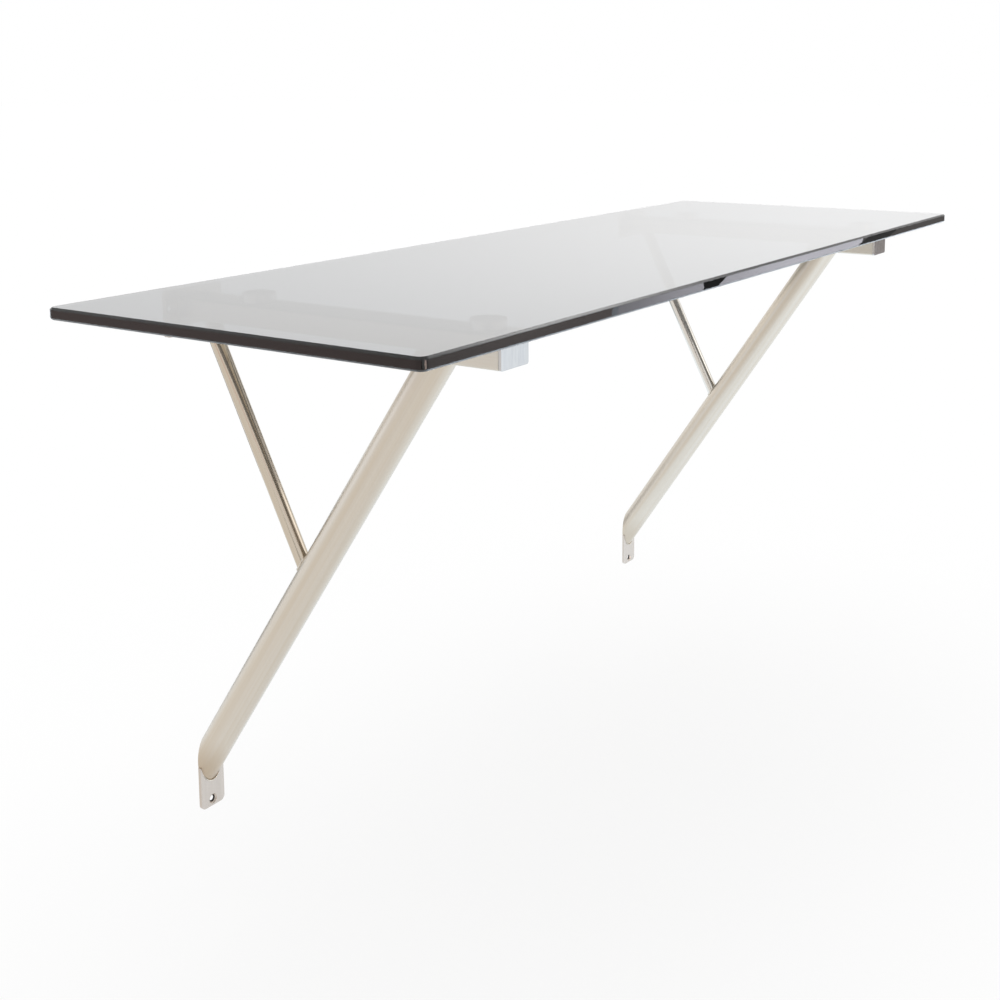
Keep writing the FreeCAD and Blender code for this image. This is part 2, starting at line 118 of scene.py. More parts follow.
def linear(colour: str) -> tuple[float, float, float, float]:
    """Turns an sRGB hex colour into linear light.

    Args:
        colour: The colour as "#rrggbb".

    Returns:
        Linear red, green and blue, with an alpha of 1.
    """
    shares = [int(colour[start:start + 2], 16) / 255 for start in (1, 3, 5)]
    # The sRGB standard's own curve
    light = [s / 12.92 if s <= 0.04045 else ((s + 0.055) / 1.055) ** 2.4 for s in shares]
    return (*light, 1.0)


def socket_named(sockets: Iterable[bpy.types.NodeSocket], name: str) -> bpy.types.NodeSocket:
    """Finds a node's socket.

    Args:
        sockets: The inputs or outputs of a node.
        name: The socket's identifier or, on a group's input node, its name.

    Returns:
        The socket.
    """
    found = {socket.name: socket for socket in sockets}
    found.update({socket.identifier: socket for socket in sockets})
    return found[name]


def add_node(
    tree: bpy.types.NodeTree,
    kind: str,
    settings: dict[str, Any] | None = None,
    sockets: dict[str, Any] | None = None,
) -> bpy.types.Node:
    """Adds a node with its settings and links.

    Args:
        tree: The tree that takes the node.
        kind: Blender's name for the node's type.
        settings: The node's properties by name.
        sockets: Input values by socket. A pair of a node and an output's name is linked.

    Returns:
        The new node.
    """
    node = tree.nodes.new(kind)
    for name, value in (settings or {}).items():
        setattr(node, name, value)
    for name, value in (sockets or {}).items():
        socket = socket_named(node.inputs, name)
        if isinstance(value, tuple) and isinstance(value[0], bpy.types.Node):
            tree.links.new(socket_named(value[0].outputs, value[1]), socket)
        else:
            socket.default_value = value
    return node


def empty_tree(owner: bpy.types.Material | bpy.types.World) -> bpy.types.NodeTree:
    """Starts the nodes of a material or a world.

    Args:
        owner: The new material or world.

    Returns:
        Its tree, with no nodes.
    """
    owner.use_nodes = True
    owner.node_tree.nodes.clear()
    return owner.node_tree


def noise_share(
    tree: bpy.types.NodeTree, noise: dict[str, Any], span: tuple[float, float], reach: tuple[float, float]
) -> Link:
    """Lays a noise over a surface and spreads it over a range.

    Args:
        tree: The material's nodes.
        noise: The noise's inputs by socket.
        span: The noise values where the range starts and ends.
        reach: The range's start and end.

    Returns:
        The noise, spread and held within the range.
    """
    plain = add_node(tree, "ShaderNodeTexNoise", None, noise)
    spread = add_node(tree, "ShaderNodeMapRange", None, {
        "Value": (plain, "Fac"),
        "From Min": span[0],
        "From Max": span[1],
        "To Min": reach[0],
        "To Max": reach[1],
    })
    return spread, "Result"


# Shapes


def arc(centre: tuple[float, float], radius: float, start: float, end: float, steps: int) -> Outline:
    """Points along an arc.

    Args:
        centre: The arc's middle.
        radius: The arc's radius.
        start: The first angle in degrees.
        end: The last angle in degrees.
        steps: The number of chords.

    Returns:
        The points, with both ends.
    """
    angles = [math.radians(start + (end - start) * step / steps) for step in range(steps + 1)]
    return [(centre[0] + radius * math.cos(a), centre[1] + radius * math.sin(a)) for a in angles]


def circle(radius: float, count: int) -> Outline:
    """Points round a circle about the origin."""
    angles = [2 * math.pi * index / count for index in range(count)]
    return [(radius * math.cos(a), radius * math.sin(a)) for a in angles]


def rounded_rectangle(
    middle: tuple[float, float], size: tuple[float, float], radius: float, steps: int
) -> Outline:
    """Points of a rectangle with round corners.

    Args:
        middle: The rectangle's middle.
        size: Its two sides.
        radius: The radius of its corners.
        steps: The number of chords in each corner.

    Returns:
        The points, anticlockwise from the right of the upper right corner.
    """
    reach, rise = (side / 2 - radius for side in size)
    points: Outline = []
    for turn, (across, up) in enumerate(((1, 1), (-1, 1), (-1, -1), (1, -1))):
        centre = (middle[0] + across * reach, middle[1] + up * rise)
        points += arc(centre, radius, 90 * turn, 90 * turn + 90, steps)
    return points


def middle_of(node: str) -> Vector:
    """The middle of a CAD node's box."""
    low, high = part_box(node)
    return (low + high) / 2


def new_object(name: str, mesh: bpy.types.Mesh) -> bpy.types.Object:
    """Puts a mesh into the scene, at the origin.

    Args:
        name: The object's name.
        mesh: The mesh.

    Returns:
        The object.
    """
    piece = bpy.data.objects.new(name, mesh)
    bpy.context.scene.collection.objects.link(piece)
    return piece


def new_mesh(
    name: str,
    points: Iterable[Sequence[float]],
    edges: Sequence[tuple[int, int]] = (),
    faces: Sequence[tuple[int, ...]] = (),
) -> bpy.types.Mesh:
    """Makes a mesh from its points.

    Args:
        name: The mesh's name.
        points: Its points.
        edges: Its edges without a face, by their points' places in the list.
        faces: Its faces, in the same way.

    Returns:
        The mesh.
    """
    mesh = bpy.data.meshes.new(name)
    mesh.from_pydata(list(points), edges, faces)
    return mesh


def keep_result(piece: bpy.types.Object) -> None:
    """Turns what an object's modifiers make into its plain mesh.

    Args:
        piece: The object, which loses its modifiers.
    """
    graph = bpy.context.evaluated_depsgraph_get()
    mesh = bpy.data.meshes.new_from_object(piece.evaluated_get(graph))
    before = piece.data
    piece.modifiers.clear()
    piece.data = mesh
    bpy.data.meshes.remove(before)
    mesh.name = piece.name


def shade(piece: bpy.types.Object) -> None:
    """Shades a piece smooth, with its sharp edges kept and its flat faces truly flat.

    Args:
        piece: The piece, a plain mesh.
    """
    piece.data.polygons.foreach_set("use_smooth", [True] * len(piece.data.polygons))
    piece.data.set_sharp_from_angle(angle=SHARP)
    weighted = piece.modifiers.new("flat_faces", "WEIGHTED_NORMAL")
    weighted.keep_sharp = True
    keep_result(piece)


class Solid:
    """A closed mesh in the making: rings of points, joined by strips and closed by lids."""

    def __init__(self) -> None:
        """Starts with nothing."""
        self.mesh = bmesh.new()

    def ring(self, points: Iterable[Sequence[float]]) -> Ring:
        """Adds a closed ring of points."""
        return [self.mesh.verts.new(point) for point in points]

    def quad(self, first: Ring, second: Ring, index: int) -> None:
        """Joins one side of a ring to the same side of another."""
        ahead = (index + 1) % len(first)
        self.mesh.faces.new((first[index], first[ahead], second[ahead], second[index]))

    def skin(self, rings: Sequence[Ring]) -> None:
        """Joins each ring to the next with a strip of quads.

        Args:
            rings: Rings with the same number of points.
        """
        for first, second in zip(rings, rings[1:]):
            for index in range(len(first)):
                self.quad(first, second, index)

    def lid(self, outer: Ring, *holes: Ring) -> None:
        """Closes a flat ring and leaves its holes open.

        Args:
            outer: The ring round the lid.
            holes: The rings of its holes.
        """
        if not holes:
            self.mesh.faces.new(outer)
            return
        edges = []
        for ring in (outer, *holes):
            for pair in zip(ring, ring[1:] + ring[:1]):
                edges.append(self.mesh.edges.get(pair) or self.mesh.edges.new(pair))
        bmesh.ops.triangle_fill(self.mesh, use_beauty=True, edges=edges)

    def close(self, rings: Sequence[Ring]) -> None:
        """Joins rings into a closed skin.

        Args:
            rings: The rings from one lid to the other.
        """
        self.skin(rings)
        for end in (0, -1):
            self.lid(rings[end])

    def piece(self, name: str, ease: float = 0.0) -> bpy.types.Object:
        """Cleans the mesh and puts it into the scene.

        Args:
            name: The piece's name.
            ease: How much its edges are rounded.

        Returns:
            The piece, a plain mesh with outward faces.
        """
        bmesh.ops.remove_doubles(self.mesh, verts=self.mesh.verts, dist=MERGE)
        bmesh.ops.recalc_face_normals(self.mesh, faces=self.mesh.faces)
        mesh = bpy.data.meshes.new(name)
        self.mesh.to_mesh(mesh)
        self.mesh.free()
        piece = new_object(name, mesh)
        if ease:
            rounding = piece.modifiers.new("eased_edges", "BEVEL")
            rounding.width = ease
            rounding.segments = EASE_STEPS
            rounding.limit_method = "ANGLE"
            rounding.angle_limit = SHARP
            keep_result(piece)
        shade(piece)
        return piece


# Geometry recipes


class Recipe:
    """A Geometry Nodes tree with named inputs, whose result is kept as a plain mesh."""

    def __init__(self, name: str, inputs: dict[str, Socket]) -> None:
        """Starts a tree.

        Args:
            name: The tree's name.
            inputs: The kind of each input by its name.
        """
        self.tree = bpy.data.node_groups.new(name, "GeometryNodeTree")
        sockets = {"Geometry": "NodeSocketGeometry"}
        sockets.update({label: kind.value for label, kind in inputs.items()})
        sockets["Material"] = Socket.MATERIAL.value
        for label, kind in sockets.items():
            self.tree.interface.new_socket(label, in_out="INPUT", socket_type=kind)
        self.tree.interface.new_socket("Geometry", in_out="OUTPUT", socket_type="NodeSocketGeometry")
        self.given = self.add("NodeGroupInput")

    def add(self, kind: str, settings: dict[str, Any] | None = None, **sockets: Any) -> bpy.types.Node:
        """Adds a node to the tree, with sockets whose names are single words."""
        return add_node(self.tree, kind, settings, sockets)

    def math(self, operation: str, *values: Any) -> Link:
        """Adds a sum of numbers or links and gives its result."""
        sockets = dict(zip(("Value", "Value_001", "Value_002"), values))
        return add_node(self.tree, "ShaderNodeMath", {"operation": operation}, sockets), "Value"

    def end(self, made: Link) -> None:
        """Ends the tree: real geometry with its material.

        Args:
            made: What the tree makes.
        """
        real = self.add("GeometryNodeRealizeInstances", Geometry=made)
        material = (self.given, "Material")
        dressed = self.add("GeometryNodeSetMaterial", Geometry=(real, "Geometry"), Material=material)
        self.add("NodeGroupOutput", Geometry=(dressed, "Geometry"))

    def run(self, piece: bpy.types.Object, **values: Any) -> None:
        """Runs the tree on an object and keeps the result as the object's mesh.

        Args:
            piece: The object, whose mesh the tree starts from.
            values: Input values by name.
        """
        modifier = piece.modifiers.new(self.tree.name, "NODES")
        modifier.node_group = self.tree
        for item in self.tree.interface.items_tree:
            if item.in_out == "INPUT" and item.name in values:
                modifier[item.identifier] = values[item.name]
        keep_result(piece)


def mitred_tube() -> Recipe:
    """A leaning tube: upright at its foot plane, flat at its head plane.

    Returns:
        The recipe. It sweeps the wall's section round the axis, slides each end along the axis onto its
        plane and leans the tube over.
    """
    recipe = Recipe("mitred_tube", {
        "Radius": Socket.NUMBER,
        "Wall": Socket.NUMBER,
        "Length": Socket.NUMBER,
        "Lean": Socket.NUMBER,
        "Foot": Socket.POINT,
        "Around": Socket.COUNT,
    })
    given = recipe.given
    middle = recipe.math("MULTIPLY_ADD", (given, "Wall"), -0.5, (given, "Radius"))
    path = recipe.add("GeometryNodeCurvePrimitiveCircle", Resolution=(given, "Around"), Radius=middle)
    wall = recipe.add(
        "GeometryNodeCurvePrimitiveQuadrilateral", Width=(given, "Wall"), Height=(given, "Length")
    )
    tube = add_node(recipe.tree, "GeometryNodeCurveToMesh", None, {
        "Curve": (path, "Curve"),
        "Profile Curve": (wall, "Curve"),
    })
    place = recipe.add("GeometryNodeInputPosition")
    parts = recipe.add("ShaderNodeSeparateXYZ", Vector=(place, "Position"))
    slope = recipe.math("TANGENT", (given, "Lean"))
    foot_cut = recipe.math("DIVIDE", (parts, "Y"), slope)
    head_cut = recipe.math("SUBTRACT", (given, "Length"), recipe.math("MULTIPLY", (parts, "Y"), slope))
    is_head = recipe.math("GREATER_THAN", (parts, "Z"), 0.0)
    cut = recipe.add("ShaderNodeMix", Factor_Float=is_head, A_Float=foot_cut, B_Float=head_cut)
    point = recipe.add("ShaderNodeCombineXYZ", X=(parts, "X"), Y=(parts, "Y"), Z=(cut, "Result_Float"))
    mitred = recipe.add("GeometryNodeSetPosition", Geometry=(tube, "Mesh"), Position=(point, "Vector"))
    turn = recipe.add("ShaderNodeCombineXYZ", X=(given, "Lean"))
    leaning = recipe.add(
        "GeometryNodeTransform",
        Geometry=(mitred, "Geometry"),
        Translation=(given, "Foot"),
        Rotation=(turn, "Vector"),
    )
    recipe.end((leaning, "Geometry"))
    return recipe


def weld_bead() -> Recipe:
    """A weld bead along a seam, with the ripples that the welder's steps leave.

    Returns:
        The recipe. It takes the seam as a line of edges.
    """
    points_in_ripple = 6
    recipe = Recipe("weld_bead", {
        "Radius": Socket.NUMBER,
        "Ripples": Socket.COUNT,
        "Depth": Socket.NUMBER,
        "Taper": Socket.NUMBER,
        "Tip": Socket.NUMBER,
        "Around": Socket.COUNT,
    })
    given = recipe.given
    seam = recipe.add("GeometryNodeMeshToCurve", Mesh=(given, "Geometry"))
    count = recipe.math("MULTIPLY", (given, "Ripples"), points_in_ripple)
    even = recipe.add("GeometryNodeResampleCurve", Curve=(seam, "Curve"), Count=count)
    along = (recipe.add("GeometryNodeSplineParameter"), "Factor")
    turns = recipe.math("MULTIPLY", recipe.math("MULTIPLY", along, (given, "Ripples")), 2 * math.pi)
    swell = recipe.math("MULTIPLY_ADD", recipe.math("SINE", turns), (given, "Depth"), 1.0)
    from_end = recipe.math("MINIMUM", along, recipe.math("SUBTRACT", 1.0, along))
    taper = add_node(recipe.tree, "ShaderNodeMapRange", {"interpolation_type": "SMOOTHSTEP"}, {
        "Value": from_end,
        "From Max": (given, "Taper"),
        "To Min": (given, "Tip"),
    })
    shape = recipe.math("MULTIPLY", swell, (taper, "Result"))
    section = recipe.add("GeometryNodeCurvePrimitiveCircle", Resolution=(given, "Around"), Radius=1.0)
    bead = add_node(recipe.tree, "GeometryNodeCurveToMesh", None, {
        "Curve": (even, "Curve"),
        "Profile Curve": (section, "Curve"),
        "Scale": recipe.math("MULTIPLY", shape, (given, "Radius")),
        "Fill Caps": True,
    })
    recipe.end((bead, "Mesh"))
    return recipe


def copies_at_points() -> Recipe:
    """Copies of one piece at given points.

    Returns:
        The recipe. It takes the points as a mesh of loose vertices.
    """
    recipe = Recipe("copies_at_points", {"Piece": Socket.THING})
    source = recipe.add("GeometryNodeObjectInfo", Object=(recipe.given, "Piece"))
    copies = recipe.add(
        "GeometryNodeInstanceOnPoints", Points=(recipe.given, "Geometry"), Instance=(source, "Geometry")
    )
    recipe.end((copies, "Instances"))
    return recipe


@dataclass(frozen=True)
class Recipes:
    """The geometry recipes that the sub-assemblies share.

    Attributes:
        tube: A leaning tube, mitred at both ends.
        bead: A rippled weld bead along a seam.
        copies: Copies of one piece at given points.
    """

    tube: Recipe = field(default_factory=mitred_tube)
    bead: Recipe = field(default_factory=weld_bead)
    copies: Recipe = field(default_factory=copies_at_points)


# Finishes


@dataclass(frozen=True)
class Finish(ABC):
    """A finish: what a surface is made of and how it was made.

    Attributes:
        name: The material's common name.
        slot: The record's material slot; nothing in this script reads it.
    """

    name: str
    slot: Slot

    def material(self) -> bpy.types.Material:
        """Makes the finish's material at its first use.

        Returns:
            The material.
        """
        made = bpy.data.materials.get(self.name)
        if made is None:
            made = bpy.data.materials.new(self.name)
            self.paint(empty_tree(made))
        return made

    @abstractmethod
    def paint(self, tree: bpy.types.NodeTree) -> None:
        """Builds the material's nodes in its empty tree."""


@dataclass(frozen=True)
class SmokedGlass(Finish):
    """Grey float glass with polished edges.

    Its faces mirror the room at low angles. Light that enters an edge runs the length of the sheet and
    is lost, so the edges look black, while across the thickness the sheet is a clear grey.

    Attributes:
        tint: The colour that the glass lets through best.
        density: How fast it takes light up, per metre.
        ior: Its index of refraction.
        haze: The roughness of a wiped patch.
        wipe: The size of the wiping marks.
        wipe_span: The noise values where a mark starts and is full.
        wipe_swirl: How much the marks are swirled.
        ripple: The length of the slow waves that the float bath leaves.
        ripple_height: The height of those waves.
    """

    tint: str = "#4a4542"
    density: float = 140.0
    ior: float = 1.52
    haze: float = 0.02
    wipe: float = 70 * MM
    wipe_span: tuple[float, float] = (0.45, 0.75)
    wipe_swirl: float = 1.2
    ripple: float = 240 * MM
    ripple_height: float = 0.004 * MM

    def paint(self, tree: bpy.types.NodeTree) -> None:
        """Builds clear glass that takes light up along its path.

        Args:
            tree: The material's nodes.
        """
        place = (add_node(tree, "ShaderNodeTexCoord"), "Object")
        marks = {"Vector": place, "Scale": 1 / self.wipe, "Detail": CRISP, "Distortion": self.wipe_swirl}
        waves = add_node(tree, "ShaderNodeTexNoise", None, {
            "Vector": place, "Scale": 1 / self.ripple, "Detail": SMOOTH,
        })
        bump = add_node(tree, "ShaderNodeBump", None, {
            "Height": (waves, "Fac"), "Distance": self.ripple_height,
        })
        glass = add_node(tree, "ShaderNodeBsdfPrincipled", None, {
            "Base Color": linear("#ffffff"),
            "Transmission Weight": 1.0,
            "IOR": self.ior,
            "Roughness": noise_share(tree, marks, self.wipe_span, (0.0, self.haze)),
            "Normal": (bump, "Normal"),
        })
        smoke = add_node(tree, "ShaderNodeVolumeAbsorption", None, {
            "Color": linear(self.tint), "Density": self.density,
        })
        add_node(tree, "ShaderNodeOutputMaterial", None, {
            "Surface": (glass, "BSDF"), "Volume": (smoke, "Volume"),
        })


@dataclass(frozen=True)
class Metal(Finish):
    """A metal whose gloss and height follow one noise.

    Attributes:
        roughness: The lowest and highest roughness, in bright places and in dull ones.
        relief: The height of the unevenness.
    """

    roughness: tuple[float, float] = (0.30, 0.42)
    relief: float = 0.01 * MM

    def surface(
        self,
        tree: bpy.types.NodeTree,
        colour: str,
        layers: Iterable[tuple[Link, str]],
        noise: dict[str, Any],
        span: tuple[float, float],
    ) -> None:
        """Builds the metal from its colours and its noise.

        Args:
            tree: The material's nodes.
            colour: The main colour.
            layers: The share and the colour of what lies over it, from below up.
            noise: The noise's inputs by socket.
            span: The noise values where the metal is bright and dull.
        """
        tone: Any = linear(colour)
        for share, over in layers:
            mixed = add_node(tree, "ShaderNodeMix", {"data_type": "RGBA"}, {
                "Factor_Float": share, "A_Color": tone, "B_Color": linear(over),
            })
            tone = (mixed, "Result_Color")
        height = add_node(tree, "ShaderNodeTexNoise", None, noise)
        bump = add_node(tree, "ShaderNodeBump", None, {"Height": (height, "Fac"), "Distance": self.relief})
        metal = add_node(tree, "ShaderNodeBsdfPrincipled", None, {
            "Base Color": tone,
            "Metallic": 1.0,
            "Roughness": noise_share(tree, noise, span, self.roughness),
            "Normal": (bump, "Normal"),
        })
        add_node(tree, "ShaderNodeOutputMaterial", None, {"Surface": (metal, "BSDF")})


@dataclass(frozen=True)
class Plating:
    """The shades of one nickel plating.

    Attributes:
        colour: The main colour.
        pale: The colour in a pale streak.
        tan: The colour in a tanned patch.
    """

    colour: str = "#cec3b3"
    pale: str = "#d5cdc1"
    tan: str = "#bcab95"


# One plating in lit and shaded copies: the right tube's tan and the whole right rod are paler and greyer as
# painted light, and the left rod is darker as painted shade
TUBE_PLATING_AND_LIGHT = {Side.LEFT: Plating(), Side.RIGHT: Plating(tan="#c2b5a3")}
ROD_PLATING_AND_LIGHT = {
    Side.LEFT: Plating("#c5b8a5", "#cdc2b3", "#b7a48d"),
    Side.RIGHT: Plating("#d6d0c7", "#dcd8d0", "#ccc4b9"),
}


@dataclass(frozen=True)
class SatinNickel(Metal):
    """Satin nickel plate on brushed steel.

    It gives a warm, creamy sheen with no sharp reflection. The belt that brushed the steel leaves long
    soft streaks, the plating is paler or more tan in slow patches, and it can be more tan towards a tube's
    foot.

    Attributes:
        plating: The plate's shades.
        lean: The turn about X that brings the streaks, upright at first, onto the bar's axis.
        tanning: How tanned a patch gets.
        streak_width: The width of a streak, drawn wider than the belt's grit so that it shows.
        streak_length: The length of a streak.
        streak_span: The noise values where a streak starts and is full.
        gloss_span: The noise values where the plate is brightest and dullest.
        patch: The width of a patch, which is as drawn out as a streak.
        patch_span: The noise values where a patch starts and is full.
        foot_tan_span: The heights where the tan starts and is full, towards the foot.
        foot_tanning: How tanned the plate gets at the foot.
        bore: The place across and up and the radius of bores whose inside is painted dark as shade, on both
            sides.
        painted_bore_shade: The painted shade inside such a bore.
    """

    plating: Plating = Plating()
    lean: float = 0.0
    tanning: float = 0.4
    streak_width: float = 4.0 * MM
    streak_length: float = 420 * MM
    streak_span: tuple[float, float] = (0.35, 0.68)
    gloss_span: tuple[float, float] = (0.3, 0.7)
    patch: float = 14 * MM
    patch_span: tuple[float, float] = (0.46, 0.74)
    foot_tan_span: tuple[float, float] | None = None
    foot_tanning: float = 0.9
    bore: tuple[float, float, float] | None = None
    painted_bore_shade: str = "#2e2a27"

    def paint(self, tree: bpy.types.NodeTree) -> None:
        """Builds a metal with streaks along its bar and slow patches.

        Args:
            tree: The material's nodes.
        """
        place = (add_node(tree, "ShaderNodeTexCoord"), "Object")
        brushed = add_node(tree, "ShaderNodeMapping", {"vector_type": "TEXTURE"}, {
            "Vector": place,
            "Rotation": (self.lean, 0.0, 0.0),
            "Scale": (self.streak_width, self.streak_width, self.streak_length),
        })
        streaks = {"Vector": (brushed, "Vector"), "Scale": 1.0, "Detail": CRISP}
        patches = {"Vector": (brushed, "Vector"), "Scale": self.streak_width / self.patch, "Detail": SOFT}
        streak = noise_share(tree, streaks, self.streak_span, (0.0, 1.0))
        tanned = noise_share(tree, patches, self.patch_span, (0.0, self.tanning))
        if self.foot_tan_span:
            tanned = self.tanned_towards_foot(tree, place, tanned)
        layers = [(streak, self.plating.pale), (tanned, self.plating.tan)]
        # Painted shade: the inside of the bores is painted near-black, as the hole's wall lies in shade
        if self.bore:
            layers.append((self.in_shaded_bore(tree, place), self.painted_bore_shade))
        self.surface(tree, self.plating.colour, layers, streaks, self.gloss_span)

    def tanned_towards_foot(self, tree: bpy.types.NodeTree, place: Link, tanned: Link) -> Link:
        """Tans the plate further towards the tube's foot.

        Args:
            tree: The material's nodes.
            place: The place on the piece.
            tanned: How tanned the plate is from its patches alone.

        Returns:
            How tanned it is with the tan towards the foot.
        """
        parts = add_node(tree, "ShaderNodeSeparateXYZ", None, {"Vector": place})
        warm = add_node(tree, "ShaderNodeMapRange", {"interpolation_type": "SMOOTHSTEP"}, {
            "Value": (parts, "Z"),
            "From Min": self.foot_tan_span[0],
            "From Max": self.foot_tan_span[1],
            "To Max": self.foot_tanning,
        })
        more = add_node(tree, "ShaderNodeMath", {"operation": "MAXIMUM"}, {
            "Value": tanned, "Value_001": (warm, "Result"),
        })
        return more, "Value"

    def in_shaded_bore(self, tree: bpy.types.NodeTree, place: Link) -> Link:
        """Finds the inside of the bores, where shade is painted.

        Args:
            tree: The material's nodes.
            place: The place on the piece.

        Returns:
            1 inside a bore, else 0.
        """
        across, up, radius = self.bore
        parts = add_node(tree, "ShaderNodeSeparateXYZ", None, {"Vector": place})
        either_side = add_node(tree, "ShaderNodeMath", {"operation": "ABSOLUTE"}, {"Value": (parts, "X")})
        flat = add_node(tree, "ShaderNodeCombineXYZ", None, {
            "X": (either_side, "Value"), "Z": (parts, "Z"),
        })
        off_axis = add_node(tree, "ShaderNodeVectorMath", {"operation": "DISTANCE"}, {
            "Vector": (flat, "Vector"), "Vector_001": (across, 0.0, up),
        })
        inside = add_node(tree, "ShaderNodeMath", {"operation": "LESS_THAN"}, {
            "Value": (off_axis, "Value"), "Value_001": radius,
        })
        return inside, "Value"


@dataclass(frozen=True)
class SpeckledMetal(Metal):
    """An unplated or a plated metal with a fine, even unevenness: a weld, a turned puck or a screw.

    The eye sees it as metal by the small changes in its gloss, which follow how it was made.

    Attributes:
        colour: The metal's main colour.
        shadow: Its colour in the dull spots.
        grain: The size of a spot along X, Y and Z.
        spot_span: The noise values where a dull spot starts and is full.
    """

    colour: str = "#d8d2c8"
    shadow: str = "#c9bfae"
    grain: tuple[float, float, float] = (2 * MM, 2 * MM, 2 * MM)
    spot_span: tuple[float, float] = (0.35, 0.7)

    def paint(self, tree: bpy.types.NodeTree) -> None:
        """Builds a metal whose colour, gloss and height follow one noise.

        Args:
            tree: The material's nodes.
        """
        place = add_node(tree, "ShaderNodeTexCoord")
        sized = add_node(tree, "ShaderNodeMapping", {"vector_type": "TEXTURE"}, {
            "Vector": (place, "Object"), "Scale": self.grain,
        })
        spots = {"Vector": (sized, "Vector"), "Scale": 1.0, "Detail": CRISP}
        dull = noise_share(tree, spots, self.spot_span, (0.0, 1.0))
        self.surface(tree, self.colour, [(dull, self.shadow)], spots, self.spot_span)


@dataclass(frozen=True)
class ClearAdhesive(Finish):
    """Cured clear adhesive, pressed thin between glass and metal.

    It is nearly invisible: a faintly yellow film with small cloudy spots.

    Attributes:
        colour: What the film lets through.
        ior: Its index of refraction, close to the glass's.
        cloud: The size of a cloudy spot.
        cloud_span: The noise values where a spot starts and is full.
        roughness: The lowest and highest roughness, clear and cloudy.
    """

    colour: str = "#f3f0e2"
    ior: float = 1.49
    cloud: float = 4 * MM
    cloud_span: tuple[float, float] = (0.5, 0.8)
    roughness: tuple[float, float] = (0.03, 0.25)

    def paint(self, tree: bpy.types.NodeTree) -> None:
        """Builds a clear film with cloudy spots.

        Args:
            tree: The material's nodes.
        """
        place = add_node(tree, "ShaderNodeTexCoord")
        clouds = {"Vector": (place, "Object"), "Scale": 1 / self.cloud, "Detail": SOFT}
        film = add_node(tree, "ShaderNodeBsdfPrincipled", None, {
            "Base Color": linear(self.colour),
            "Transmission Weight": 1.0,
            "IOR": self.ior,
            "Roughness": noise_share(tree, clouds, self.cloud_span, self.roughness),
        })
        add_node(tree, "ShaderNodeOutputMaterial", None, {"Surface": (film, "BSDF")})


# Sub-assemblies


def dressed_name(node: str) -> str:
    """The name of the visible piece that stands for a CAD node."""
    return f"{node}.dressed"


class SubAssembly(ABC):
    """A group of pieces that is built and dressed together."""

    @abstractmethod
    def build(self) -> None:
        """Builds and dresses the pieces."""

    def dress(self, piece: bpy.types.Object, node: str, finish: Finish) -> None:
        """Gives a piece its finish and puts it in the place of a CAD node.

        Args:
            piece: The finished mesh.
            node: The CAD node that it stands for.
            finish: The finish of its whole surface.
        """
        piece.data.materials.clear()
        piece.data.materials.append(finish.material())
        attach(piece, BODY)
        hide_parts(node)
        log.info("%s: %d faces, %s", piece.name, len(piece.data.polygons), finish.name)

    def complete(self, solid: Solid, node: str, finish: Finish, ease: float = 0.0) -> None:
        """Turns a solid into a dressed piece with eased edges."""
        self.dress(solid.piece(dressed_name(node), ease), node, finish)


@dataclass
class GlassTop(SubAssembly):
    """The desk top: one sheet of smoked glass with ground and polished edges.

    Attributes:
        node: The CAD node.
        corner: The radius of the corners, seen from above.
        arris: The width of the flat ground along the edges.
        ease: The polished rounding between the flats.
        steps: The number of chords in a corner.
        finish: The glass.
    """

    node: str = "glass_top"
    corner: float = 8 * MM
    arris: float = 2 * MM
    ease: float = 0.3 * MM
    steps: int = 16
    finish: Finish = SmokedGlass("smoked_float_glass", Slot.GLASS)

    def build(self) -> None:
        """Builds the sheet ring by ring, from its underside up."""
        low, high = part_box(self.node)
        middle, arris = middle_of(self.node).xy, self.arris
        levels = ((arris, low.z), (0.0, low.z + arris), (0.0, high.z - arris), (arris, high.z))
        solid = Solid()
        rings = []
        for inset, height in levels:
            size = (high.x - low.x - 2 * inset, high.y - low.y - 2 * inset)
            outline = rounded_rectangle(middle, size, self.corner - inset, self.steps)
            rings.append(solid.ring((x, y, height) for x, y in outline))
        solid.close(rings)
        self.complete(solid, self.node, self.finish, self.ease)


@dataclass(frozen=True)
class ScrewHole:
    """A countersunk hole through a wall plate.

    Attributes:
        diameter: The plain hole.
        sink: The countersink at the plate's front.
        sink_angle: The countersink's whole angle.
        count: The number of points round the hole.
    """

    diameter: float = 5.5 * MM
    sink: float = 11 * MM
    sink_angle: float = math.radians(90)
    count: int = 40

    def plate(self, outlines: Sequence[Outline], places: Outline, front: float, back: float) -> Solid:
        """Builds a flat plate on the wall with such holes.

        Args:
            outlines: The plate's outlines along X and Z, in front and at the back.
            places: The places of its holes along X and Z.
            front: The plate's front, along Y.
            back: The plate's back, along Y.

        Returns:
            The plate, not yet made into a piece.
        """
        sink_depth = (self.sink - self.diameter) / 2 / math.tan(self.sink_angle / 2)
        levels = ((self.sink, front), (self.diameter, front + sink_depth), (self.diameter, back))
        solid = Solid()
        fore, rear = (
            [solid.ring((x, y, z) for x, z in outline)] for outline, y in zip(outlines, (front, back))
        )
        solid.skin((fore[0], rear[0]))
        for x, z in places:
            wall = [
                solid.ring((x + across, y, z + up) for across, up in circle(diameter / 2, self.count))
                for diameter, y in levels
            ]
            solid.skin(wall)
            fore.append(wall[0])
            rear.append(wall[-1])
        solid.lid(*fore)
        solid.lid(*rear)
        return solid


